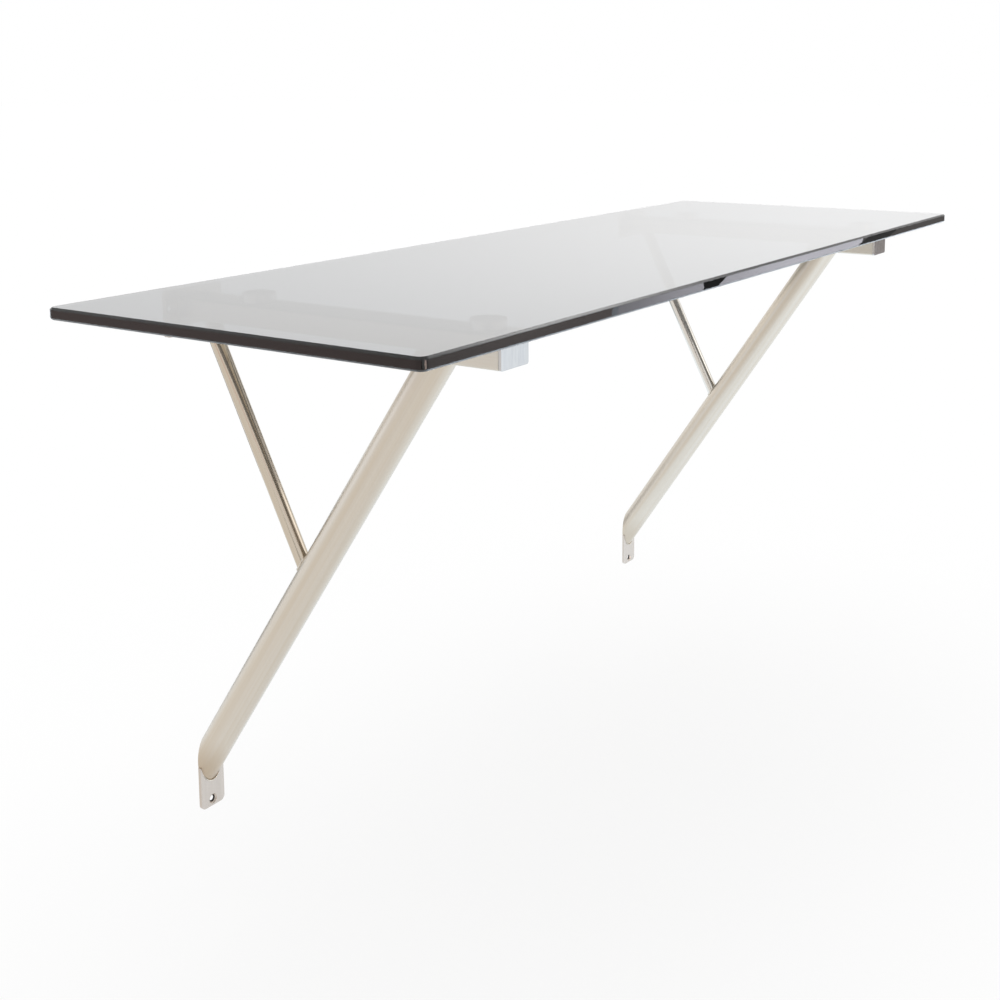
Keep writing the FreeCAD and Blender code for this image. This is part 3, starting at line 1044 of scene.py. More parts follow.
@dataclass(frozen=True)
class Bead:
    """A weld bead in the corner between two faces.

    Attributes:
        leg: How far the bead reaches along each face.
        pitch: The length of one ripple.
        depth: The height of a ripple, as a share of the bead's thickness.
        around: The number of points round the bead.
        offset_share: The bead's middle off each face, as a share of the leg.
        taper_share: The length of a tapered end, as a share of an open bead.
        tip_share: The thickness of a tapered end, as a share of the bead's thickness.
    """

    leg: float
    pitch: float = 2.4 * MM
    depth: float = 0.07
    around: int = 14
    offset_share: float = 0.3
    taper_share: float = 0.38
    tip_share: float = 0.12

    @property
    def stand_off(self) -> float:
        """The bead's middle off each of the two faces."""
        return self.leg * self.offset_share


@dataclass
class BracketGroup(SubAssembly):
    """A part of one bracket, welded together.

    Attributes:
        side: The bracket.
        recipes: The shared geometry recipes.
        screw_hole: The holes for the wall screws.
        plate_ease: The rounding of a plate's edges.
        plate_finish: The plates' finish.
        weld_finish: The beads' finish.
    """

    side: Side
    recipes: Recipes
    screw_hole: ScrewHole = ScrewHole()
    plate_ease: float = 0.4 * MM
    # Cut from brushed flat bar: short soft streaks, and a touch darker than the tubes
    plate_finish: SatinNickel = SatinNickel(
        "satin_nickel_plate", Slot.NICKEL, plating=Plating("#c6bbb0", "#cdc3b9", "#bbab99"),
        streak_width=5 * MM, streak_length=80 * MM, tanning=0.35,
    )
    # Plated as welded: the ripples break the light into soft glints
    weld_finish: Finish = SpeckledMetal(
        "nickel_plated_weld", Slot.WELD, roughness=(0.3, 0.45), relief=0.05 * MM
    )

    def node(self, part: str) -> str:
        """The CAD node of one of this bracket's parts."""
        return f"{self.side.value}_{part}"

    def weld(self, part: str, bead: Bead, seam: Sequence[Vector], closed: bool = True) -> None:
        """Lays a bead along a seam.

        Args:
            part: The bracket's part that the bead is.
            bead: The kind of bead.
            seam: Points along the bead's middle.
            closed: Whether the seam goes all the way round.
        """
        node = self.node(part)
        pairs = [(index, index + 1) for index in range(len(seam) - 1)]
        if closed:
            pairs.append((len(seam) - 1, 0))
        length = sum((seam[last] - seam[first]).length for first, last in pairs)
        piece = new_object(dressed_name(node), new_mesh(node, seam, pairs))
        self.recipes.bead.run(
            piece,
            Radius=bead.leg - bead.stand_off,
            Ripples=round(length / bead.pitch),
            Depth=bead.depth,
            Taper=bead.taper_share,
            Tip=1.0 if closed else bead.tip_share,
            Around=bead.around,
            Material=self.weld_finish.material(),
        )
        shade(piece)
        self.dress(piece, node, self.weld_finish)


@dataclass
class RailGroup(BracketGroup):
    """One rail under the glass, with its end cap, its wall plate and the bead between rail and plate.

    Attributes:
        wall: The rail's wall.
        corner: The rail's outer corner radius.
        bore_corner: The rail's inner corner radius.
        rail_ease: The rounding of the rail's cut ends.
        puck_hole: The puck screw's hole in the rail's upper wall.
        access_hole: The hole in the rail's lower wall that the screw goes in by.
        hole_margin: Plain metal beside a rail hole, along the rail.
        cap_ease: The rounding of the end cap's edges.
        seam_width: The open seam between the end cap's rim and the rail.
        seam_depth: The depth of that seam.
        plate_corner: The wall plate's corner radius.
        plate_margin: The wall plate's side edge to the middle of a screw hole.
        bead: The bead round the rail's rear end.
        steps: The number of chords in a corner.
        rail_finish: The rail's finish.
        cap_finish: The end cap's finish.
    """

    wall: float = 2 * MM
    corner: float = 2.5 * MM
    bore_corner: float = 1 * MM
    rail_ease: float = 0.2 * MM
    puck_hole: float = 6.6 * MM
    access_hole: float = 14 * MM
    hole_margin: float = 5 * MM
    cap_ease: float = 0.45 * MM
    seam_width: float = 0.3 * MM
    seam_depth: float = 0.3 * MM
    plate_corner: float = 4 * MM
    plate_margin: float = 7.5 * MM
    bead: Bead = Bead(2 * MM)
    steps: int = 6
    # Brushed from front to back: pale streaks along the rail
    rail_finish: Finish = SatinNickel(
        "satin_nickel_rail", Slot.NICKEL, plating=Plating("#d0c9bd", "#d6d1c7", "#c8bcab"),
        lean=math.radians(90), tanning=0.35,
    )
    # Polished before plating: nearly a mirror, so that each cap is as light or dark as what it faces
    cap_finish: Finish = SatinNickel(
        "satin_nickel_cap", Slot.NICKEL, plating=Plating("#bebbb9", "#c6c3bf", "#bab5b0"),
        streak_width=3 * MM, streak_length=20 * MM, roughness=(0.06, 0.11), relief=0.0,
    )

    def build(self) -> None:
        """Builds and dresses the rail, the cap, the plate and the bead."""
        self.build_rail()
        self.build_cap()
        self.build_plate()
        self.build_bead()

    def section(self, inset: float, radius: float) -> Outline:
        """The rail's outline in X and Z, brought in from its outer faces.

        Args:
            inset: How far it is brought in.
            radius: Its corner radius.

        Returns:
            Points in the frame.
        """
        low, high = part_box(self.node("rail"))
        sides = (high.x - low.x - 2 * inset, high.z - low.z - 2 * inset)
        return rounded_rectangle(middle_of(self.node("rail")).xz, sides, radius, self.steps)

    def build_rail(self) -> None:
        """Builds the hollow rail, with a screw hole above and an access hole below each puck."""
        node = self.node("rail")
        low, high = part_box(node)
        centres = [middle_of(self.node(f"{end.value}_puck")) for end in (End.REAR, End.FRONT)]
        half_bay = self.access_hole / 2 + self.hole_margin
        stations = [high.y]
        for centre in centres:
            stations += [centre.y + half_bay, centre.y - half_bay]
        stations.append(low.y)

        solid = Solid()
        outer, inner = (
            [solid.ring((x, y, z) for x, z in self.section(inset, radius)) for y in stations]
            for inset, radius in ((0.0, self.corner), (self.wall, self.bore_corner))
        )
        # The sides of a ring that lie flat above and below, with their holes and the heights of their faces
        drilled = {
            self.steps: (self.puck_hole, high.z, high.z - self.wall),
            3 * self.steps + 2: (self.access_hole, low.z, low.z + self.wall),
        }
        for span in range(len(stations) - 1):
            is_bay = span % 2 == 1
            ends = [(rings[span], rings[span + 1]) for rings in (outer, inner)]
            for first, last in ends:
                for index in range(len(first)):
                    if not (is_bay and index in drilled):
                        solid.quad(first, last, index)
            if is_bay:
                for side, (diameter, *heights) in drilled.items():
                    faces = [
                        [first[side], first[side + 1], last[side + 1], last[side]] for first, last in ends
                    ]
                    self.drill(solid, faces, heights, centres[span // 2], diameter)
        for end in (0, -1):
            solid.skin((outer[end], inner[end]))
        self.complete(solid, node, self.rail_finish, self.rail_ease)

    def drill(
        self, solid: Solid, faces: Sequence[Ring], heights: Sequence[float], centre: Vector, diameter: float
    ) -> None:
        """Closes both faces of a rail wall and leaves a round hole through it.

        Args:
            solid: The rail.
            faces: The rings round the wall's outer and inner face.
            heights: The heights of the two faces.
            centre: The hole's place along X and Y.
            diameter: The hole's diameter.
        """
        points = circle(diameter / 2, self.screw_hole.count)
        holes = []
        for face, height in zip(faces, heights):
            holes.append(solid.ring((centre.x + x, centre.y + y, height) for x, y in points))
            solid.lid(face, holes[-1])
        solid.skin(holes)

    def build_cap(self) -> None:
        """Builds the plate that closes the rail's front end, with an open seam behind its rim."""
        node = self.node("end_cap")
        low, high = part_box(node)
        shoulder, depth = high.y - self.seam_width, self.seam_depth
        levels = ((0.0, low.y), (0.0, shoulder), (depth, shoulder), (depth, high.y))
        solid = Solid()
        solid.close([
            solid.ring((x, y, z) for x, z in self.section(inset, self.corner - inset)) for inset, y in levels
        ])
        self.complete(solid, node, self.cap_finish, self.cap_ease)

    def build_plate(self) -> None:
        """Builds the wall plate behind the rail."""
        node = self.node("wall_plate")
        low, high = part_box(node)
        sides = (high.x - low.x, high.z - low.z)
        outline = rounded_rectangle(middle_of(node).xz, sides, self.plate_corner, self.steps)
        height = middle_of(self.node("rail")).z
        places = [(low.x + self.plate_margin, height), (high.x - self.plate_margin, height)]
        plate = self.screw_hole.plate((outline, outline), places, low.y, high.y)
        self.complete(plate, node, self.plate_finish, self.plate_ease)

    def build_bead(self) -> None:
        """Builds the bead round the rail's rear end."""
        off = self.bead.stand_off
        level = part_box(self.node("wall_plate"))[0].y - off
        seam = [Vector((x, level, z)) for x, z in self.section(-off, self.corner + off)]
        self.weld("rail_weld", self.bead, seam)


@dataclass
class StrutGroup(BracketGroup):
    """The struts of one bracket: the tube, the rod, the foot plate and their beads.

    Attributes:
        tube_wall: The tube's wall.
        tube_setback: The rail's front end to the tube's axis.
        tube_foot_rise: The tube's axis at the foot plate's front above the foot screw.
        rod_reach: The wall to the rod's axis under the rail.
        rod_join_rise: The rod's axis on the tube's axis above the foot screw.
        rod_roughness: The lowest and highest roughness of the drawn rod.
        rod_streak: The width of a streak on the rod.
        foot_corner: The foot plate's lower corner radius.
        bore_shadow: The width across which the foot's hole is painted dark as shade.
        tube_bead: The bead round the tube's top.
        toe_bead: The bead round the tube's toe.
        rod_bead: The beads on the rod.
        around: The number of points round a strut.
        corner_steps: The number of chords in a corner of the foot plate.
        cope_steps: The number of chords in the foot plate's cope.
    """

    tube_wall: float = 2.6 * MM
    tube_setback: float = 83 * MM
    tube_foot_rise: float = 53.25 * MM
    rod_reach: float = 30 * MM
    rod_join_rise: float = 281.5 * MM
    rod_roughness: tuple[float, float] = (0.13, 0.19)
    rod_streak: float = 3 * MM
    foot_corner: float = 6 * MM
    bore_shadow: float = 7.6 * MM
    tube_bead: Bead = Bead(2 * MM)
    toe_bead: Bead = Bead(1.2 * MM)
    rod_bead: Bead = Bead(1.5 * MM)
    around: int = 96
    corner_steps: int = 8
    cope_steps: int = 40

    def __post_init__(self) -> None:
        """Reads the bracket's place from the frame and works out the struts' axes."""
        tube_low, tube_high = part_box(self.node("tube"))
        rod_low, rod_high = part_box(self.node("rod"))
        self.x = (tube_low.x + tube_high.x) / 2
        self.tube_radius = (tube_high.x - tube_low.x) / 2
        self.rod_radius = (rod_high.x - rod_low.x) / 2
        self.rail_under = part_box(self.node("rail"))[0].z
        self.plate_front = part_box(self.node("foot_plate"))[0].y
        rail_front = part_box(self.node("end_cap"))[0].y
        tube_run = self.plate_front - (rail_front + self.tube_setback)
        self.tube_lean = math.atan2(tube_run, self.rail_under - self.tube_foot_rise)
        self.tube_length = (tube_run - self.plate_front) / math.sin(self.tube_lean)
        self.tube_foot = Vector((self.x, self.plate_front, self.tube_foot_rise))
        self.wall_drop = -self.plate_front / math.tan(self.tube_lean)
        join_rise = self.rod_join_rise - self.tube_foot_rise
        self.rod_join = self.tube_foot + Vector((0, -join_rise * math.tan(self.tube_lean), join_rise))
        rod_run = -self.rod_reach - self.rod_join.y
        self.rod_lean = math.atan2(rod_run, self.rail_under - self.rod_join.z)

    def build(self) -> None:
        """Builds and dresses the tube, the rod, the foot plate and the beads."""
        self.build_tube()
        self.build_rod()
        self.build_foot_plate()
        self.build_beads()

    def build_tube(self) -> None:
        """Builds the thick tube from the wall up to the rail."""
        node = self.node("tube")
        # The plating per side carries painted light: the right tube's tan is paler
        finish = SatinNickel(
            f"satin_nickel_{node}", Slot.NICKEL, plating=TUBE_PLATING_AND_LIGHT[self.side], lean=self.tube_lean,
            foot_tan_span=(self.tube_foot_rise + 2 * self.tube_radius, self.tube_foot_rise - self.tube_radius),
        )
        tube = new_object(dressed_name(node), bpy.data.meshes.new(node))
        self.recipes.tube.run(
            tube,
            Radius=self.tube_radius,
            Wall=self.tube_wall,
            Length=self.tube_length,
            Lean=self.tube_lean,
            Foot=self.tube_foot - Vector((0, self.plate_front, self.wall_drop)),
            Around=self.around,
            Material=finish.material(),
        )
        shade(tube)
        self.dress(tube, node, finish)

    def rod_point(self, across: float, under: float, along: float) -> Vector:
        """A point on or round the rod.

        Args:
            across: The distance from the rod's axis, along +X.
            under: The distance from the rod's axis, towards its lower side.
            along: The distance from the tube's axis, along the rod.

        Returns:
            The point in the frame.
        """
        sine, cosine = math.sin(self.rod_lean), math.cos(self.rod_lean)
        return self.rod_join + Vector((across, under * cosine + along * sine, along * cosine - under * sine))

    def rod_rings(self, clearance: float = 0.0) -> tuple[list[Vector], list[Vector]]:
        """The rod's ends, where lines along its skin meet the tube and the rail's underside.

        Args:
            clearance: How far the ends stand off the rod, the tube and the rail.

        Returns:
            The points round the lower end and round the upper end.
        """
        between = self.tube_lean + self.rod_lean
        rise = self.rail_under - clearance - self.rod_join.z
        foot, head = [], []
        for across, under in circle(self.rod_radius + clearance, self.around):
            height = math.sqrt((self.tube_radius + clearance) ** 2 - across ** 2)
            start = (height - under * math.cos(between)) / math.sin(between)
            end = rise / math.cos(self.rod_lean) + under * math.tan(self.rod_lean)
            foot.append(self.rod_point(across, under, start))
            head.append(self.rod_point(across, under, end))
        return foot, head

    def build_rod(self) -> None:
        """Builds the thin rod, saddled on the tube and cut level under the rail."""
        node = self.node("rod")
        # Drawn bar: smoother than the tube, so that it shows thin bright and dark lines. Its plating is
        # darkened on the left as painted shade and paled on the right as painted light
        finish = SatinNickel(
            f"satin_nickel_{node}", Slot.NICKEL, plating=ROD_PLATING_AND_LIGHT[self.side], lean=-self.rod_lean,
            roughness=self.rod_roughness, streak_width=self.rod_streak, relief=0.0,
        )
        solid = Solid()
        foot, head = (solid.ring(points) for points in self.rod_rings())
        on_tube = self.tube_radius / math.sin(self.tube_lean + self.rod_lean)
        heart = solid.mesh.verts.new(self.rod_point(0.0, 0.0, on_tube))
        for index, vertex in enumerate(foot):
            solid.mesh.faces.new((vertex, foot[(index + 1) % len(foot)], heart))
        solid.skin((foot, head))
        solid.lid(head)
        self.complete(solid, node, finish)

    def foot_outline(self, toe_rise: float) -> Outline:
        """The foot plate's outline, coped round the tube's toe.

        Args:
            toe_rise: The tube's axis above the foot screw, at the face that is outlined.

        Returns:
            Points along X and Z.
        """
        low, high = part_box(self.node("foot_plate"))
        half, corner, top = (high.x - low.x) / 2, self.foot_corner, high.z
        toe_height = self.tube_radius / math.sin(self.tube_lean)
        start = math.degrees(math.asin((top - toe_rise) / toe_height))
        outline = arc((self.x + half - corner, low.z + corner), corner, -90, 0, self.corner_steps)
        outline.append((self.x + half, top))
        for across, up in arc((0.0, 0.0), 1.0, start, -180 - start, self.cope_steps):
            outline.append((self.x + self.tube_radius * across, toe_rise + toe_height * up))
        outline.append((self.x - half, top))
        outline += arc((self.x - half + corner, low.z + corner), corner, 180, 270, self.corner_steps)
        return outline

    def build_foot_plate(self) -> None:
        """Builds the foot plate: a tongue under the tube's toe, with one hole near its lower edge."""
        node = self.node("foot_plate")
        low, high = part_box(node)
        outlines = [self.foot_outline(self.tube_foot_rise - drop) for drop in (0.0, self.wall_drop)]
        plate = self.screw_hole.plate(outlines, [(self.x, 0.0)], low.y, high.y)
        # Painted shade: the foot's hole and the middle of its countersink are painted dark
        bore = (abs(self.x), 0.0, self.bore_shadow / 2)
        finish = replace(self.plate_finish, name="satin_nickel_foot", bore=bore)
        self.complete(plate, node, finish, self.plate_ease)

    def build_beads(self) -> None:
        """Builds the beads at both ends of the tube and of the rod."""
        sine, cosine = math.sin(self.tube_lean), math.cos(self.tube_lean)
        off, toe_off = self.tube_bead.stand_off, self.toe_bead.stand_off
        head_y = self.tube_foot.y - (self.rail_under - self.tube_foot.z) * math.tan(self.tube_lean)
        tube_top = [
            Vector((self.x + across, head_y + back / cosine, self.rail_under - off))
            for across, back in circle(self.tube_radius + off, self.around)
        ]
        toe_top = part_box(self.node("foot_weld"))[1].z
        toe_end = math.degrees(math.asin((toe_top - self.tube_foot.z) * sine / self.tube_radius))
        toe_arc = arc((0.0, 0.0), self.tube_radius + toe_off, toe_end, -180 - toe_end, self.around)
        toe = [
            Vector((self.x + across, self.plate_front - toe_off, self.tube_foot.z + up / sine))
            for across, up in toe_arc
        ]
        saddle, rod_top = self.rod_rings(self.rod_bead.stand_off)
        self.weld("tube_weld", self.tube_bead, tube_top)
        self.weld("foot_weld", self.toe_bead, toe, closed=False)
        self.weld("rod_weld", self.rod_bead, saddle)
        self.weld("rod_top_weld", self.rod_bead, rod_top)


@dataclass
class GlassFixings(SubAssembly):
    """What holds the glass: four pucks on the rails, with their screws and adhesive films.

    Attributes:
        recipes: The shared geometry recipes.
        puck_ease: The chamfer on a puck's rims.
        puck_polish: The rounding of the chamfer's own edges.
        hole_diameter: The blind hole under a puck.
        hole_roof: The metal left over the blind hole.
        bond_waist: How far a film's rim is drawn in at mid-height.
        bond_steps: The number of strips in a film's rim.
        head_chamfer: The chamfer on a screw head's rim.
        head_height: The screw head's height.
        socket_width: The hexagon socket across its corners.
        socket_depth: The hexagon socket's depth.
        shank_diameter: The screw's shank.
        thread_pitch: The rise of the thread in one turn.
        thread_depth: The depth of the thread.
        rings_in_turn: The number of rings in one turn of the thread.
        around: The number of points round a puck or a film.
        around_screw: The number of points round a screw.
        puck_finish: The pucks' finish.
        bond_finish: The films' finish.
        screw_finish: The screws' finish.
    """

    recipes: Recipes
    puck_ease: float = 0.5 * MM
    puck_polish: float = 0.12 * MM
    hole_diameter: float = 6.2 * MM
    hole_roof: float = 2 * MM
    bond_waist: float = 0.25 * MM
    bond_steps: int = 6
    head_chamfer: float = 0.6 * MM
    head_height: float = 5 * MM
    socket_width: float = 5 * MM
    socket_depth: float = 2.5 * MM
    shank_diameter: float = 6 * MM
    thread_pitch: float = 1 * MM
    thread_depth: float = 0.55 * MM
    rings_in_turn: int = 6
    around: int = 72
    around_screw: int = 36
    # Turned on a lathe and polished: fine rings round the axis and a sharp, cool shine
    puck_finish: Finish = SpeckledMetal(
        "polished_turned_steel", Slot.PUCK, colour="#d2d1ce", shadow="#c2c0bb", roughness=(0.08, 0.16),
        grain=(40 * MM, 40 * MM, 0.5 * MM), relief=0.004 * MM,
    )
    bond_finish: Finish = ClearAdhesive("clear_cured_adhesive", Slot.BOND)
    # Zinc from a barrel: a cool grey with small cloudy spots
    screw_finish: Finish = SpeckledMetal(
        "zinc_plated_steel", Slot.SCREW, colour="#bcc0c6", shadow="#a3a6ab", roughness=(0.22, 0.4),
        grain=(1.2 * MM, 1.2 * MM, 1.2 * MM), relief=0.01 * MM,
    )

    def build(self) -> None:
        """Builds and dresses the pucks, the films and the screws."""
        nodes = [f"{side.value}_{end.value}_puck" for side in Side for end in End]
        for node in nodes:
            self.build_puck(node)
        centres = [middle_of(node).xy.to_3d() for node in nodes]
        self.copy_to("glass_bonds", self.film(centres[0].x), centres, self.bond_finish)
        self.copy_to("puck_screws", self.screw(centres[0].x), centres, self.screw_finish)

    def turned(self, profile: Iterable[tuple[float, float]], centre: Vector) -> Solid:
        """Turns a solid about an upright axis.

        Args:
            profile: Radius and height along its outline, from one lid to the other.
            centre: Its axis, along X and Y.

        Returns:
            The solid.
        """
        solid = Solid()
        solid.close([
            solid.ring((centre.x + x, centre.y + y, height) for x, y in circle(radius, self.around))
            for radius, height in profile
        ])
        return solid

    def build_puck(self, node: str) -> None:
        """Builds one puck, with eased rims and a blind hole from below.

        Args:
            node: The puck's CAD node.
        """
        low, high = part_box(node)
        radius, ease = (high.x - low.x) / 2, self.puck_ease
        profile = (
            (self.hole_diameter / 2, high.z - self.hole_roof),
            (self.hole_diameter / 2, low.z),
            (radius - ease, low.z),
            (radius, low.z + ease),
            (radius, high.z - ease),
            (radius - ease, high.z),
        )
        self.complete(self.turned(profile, middle_of(node)), node, self.puck_finish, self.puck_polish)

    def film(self, first_x: float) -> bpy.types.Object:
        """Builds one adhesive film about the Z axis, with its rim drawn in, just off its neighbours.

        Args:
            first_x: The axis of the leftmost film, along X.

        Returns:
            The film, a pattern for copies.
        """
        low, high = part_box("glass_bonds")
        bottom, top = low.z + PARTING, high.z - PARTING
        profile = []
        for step in range(self.bond_steps + 1):
            share = step / self.bond_steps
            waist = self.bond_waist * math.sin(math.pi * share)
            profile.append((first_x - low.x - waist, bottom + (top - bottom) * share))
        return self.turned(profile, Vector()).piece("film_pattern")

    def screw(self, first_x: float) -> bpy.types.Object:
        """Builds one socket screw about the Z axis, head down, with its thread.

        Args:
            first_x: The axis of the leftmost screw, along X.

        Returns:
            The screw, a pattern for copies.
        """
        low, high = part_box("puck_screws")
        head, chamfer, points = first_x - low.x, self.head_chamfer, self.around_screw
        crest, core = self.shank_diameter / 2, self.shank_diameter / 2 - self.thread_depth
        seat, thread_end = low.z + self.head_height, high.z - chamfer
        angles = [2 * math.pi * index / points for index in range(points)]
        # A hexagon's side spans a sixth of a turn, and its middle is the nearest to the axis
        side = math.pi / 3
        flat = self.socket_width / 2 * math.cos(side / 2)
        socket = [flat / math.cos(angle % side - side / 2) for angle in angles]
        levels = [(socket, low.z + self.socket_depth), (socket, low.z)]
        for radius, height in (
            (head - chamfer, low.z), (head, low.z + chamfer), (head, seat), (core, seat),
        ):
            levels.append(([radius] * points, height))
        count = round((thread_end - seat) / self.thread_pitch * self.rings_in_turn)
        for level in range(count):
            height = seat + (thread_end - seat) * (level + 1) / count
            phases = [(height / self.thread_pitch - index / points) % 1 for index in range(points)]
            levels.append(([crest - self.thread_depth * abs(2 * phase - 1) for phase in phases], height))
        levels.append(([core - chamfer] * points, high.z))
        solid = Solid()
        solid.close([
            solid.ring((r * math.cos(a), r * math.sin(a), height) for r, a in zip(radii, angles))
            for radii, height in levels
        ])
        return solid.piece("screw_pattern")

    def copy_to(
        self, node: str, pattern: bpy.types.Object, centres: Sequence[Vector], finish: Finish
    ) -> None:
        """Puts copies of a pattern piece at the pucks, as one piece.

        Args:
            node: The CAD node that the copies stand for.
            pattern: The piece about the Z axis, which is removed afterwards.
            centres: The places of the copies.
            finish: Their finish.
        """
        copies = new_object(dressed_name(node), new_mesh(node, centres))
        self.recipes.copies.run(copies, Piece=pattern, Material=finish.material())
        bpy.data.objects.remove(pattern)
        self.dress(copies, node, finish)


# Studio


@dataclass(frozen=True)
class Panel:
    """A flat studio panel that only shows in reflections: a soft box where it glows, else a dark flag.

    Attributes:
        name: The panel's name.
        middle: Its middle.
        facing: The direction that it faces, level.
        width: Its width.
        height: Its height.
        glow: Its brightness at the middle, where 1 is white.
        rim: Its brightness at the edges.
        colour: Its colour.
        slant: Its turn about the direction that it faces, in degrees.
        through: Its brightness where metal mirrors it through the glass, or none if it doesn't show there.
    """

    name: str
    middle: tuple[float, float, float]
    facing: tuple[float, float]
    width: float
    height: float
    glow: float
    rim: float
    colour: str = "#ffffff"
    slant: float = 0.0
    through: float | None = None

    def build(self) -> None:
        """Builds the panel and hides it from all but reflections."""
        turn = Matrix.Rotation(math.radians(self.slant), 3, (*self.facing, 0.0))
        level = turn @ Vector((-self.facing[1], self.facing[0], 0.0)).normalized() * self.width / 2
        upright = turn @ Vector((0.0, 0.0, self.height / 2))
        corners = [Vector(self.middle) + across * level + up * upright for across, up in SQUARE]
        mesh = new_mesh(self.name, corners, faces=[(0, 1, 2, 3)])
        mesh.uv_layers.new(name="panel")
        mesh.uv_layers["panel"].data.foreach_set("uv", [place for corner in SQUARE for place in corner])
        mesh.materials.append(self.material())
        panel = new_object(self.name, mesh)
        panel.visible_camera = False
        panel.visible_diffuse = False
        panel.visible_transmission = self.through is not None
        panel.visible_shadow = False

    def material(self) -> bpy.types.Material:
        """Makes a glow that fades from the panel's middle to its rim.

        Returns:
            The material.
        """
        made = bpy.data.materials.new(self.name)
        tree = empty_tree(made)
        place = add_node(tree, "ShaderNodeTexCoord")
        spread = add_node(tree, "ShaderNodeTexGradient", {"gradient_type": "SPHERICAL"}, {
            "Vector": (place, "UV"),
        })
        strength = add_node(tree, "ShaderNodeMapRange", {"interpolation_type": "SMOOTHSTEP"}, {
            "Value": (spread, "Fac"), "To Min": self.rim, "To Max": self.glow,
        })
        brightness: Link = (strength, "Result")
        if self.through is not None:
            path = add_node(tree, "ShaderNodeLightPath")
            by_metal = add_node(tree, "ShaderNodeMath", {"operation": "MULTIPLY", "use_clamp": True}, {
                "Value": (path, "Glossy Depth"), "Value_001": (path, "Is Transmission Ray"),
            })
            both = add_node(tree, "ShaderNodeMix", {"data_type": "FLOAT"}, {
                "Factor_Float": (by_metal, "Value"), "A_Float": brightness, "B_Float": self.through,
            })
            brightness = (both, "Result_Float")
        glow = add_node(tree, "ShaderNodeEmission", None, {
            "Color": linear(self.colour), "Strength": brightness,
        })
        add_node(tree, "ShaderNodeOutputMaterial", None, {"Surface": (glow, "Emission")})
        return made


@dataclass(frozen=True)
class DeskCamera:
    """The camera at the photograph's viewing angle.

    Attributes:
        place: Where it stands.
        heading: The angle of its aim from +Y towards +X, in radians.
        pitch: The angle of its aim above the horizon, in radians.
        roll: Its turn about its own aim, in radians.
        lens: Its focal length in millimetres.
        rise: Its lens shift along the picture's height.
    """

    place: tuple[float, float, float] = (-1.4779, -1.0775, 0.7837)
    heading: float = 0.9720
    pitch: float = -0.1590
    roll: float = -0.0054
    lens: float = 50.64
    rise: float = -0.20

    def build(self) -> None:
        """Builds the camera and makes it the scene's."""
        aimed = Matrix.Rotation(-self.heading, 4, "Z") @ Matrix.Rotation(math.pi / 2 + self.pitch, 4, "X")
        data = bpy.data.cameras.new("desk_camera")
        data.lens = self.lens
        data.shift_y = self.rise
        camera = bpy.data.objects.new("desk_camera", data)
        camera.matrix_world = Matrix.Translation(self.place) @ aimed @ Matrix.Rotation(self.roll, 4, "Z")
        bpy.context.scene.collection.objects.link(camera)
        bpy.context.scene.camera = camera


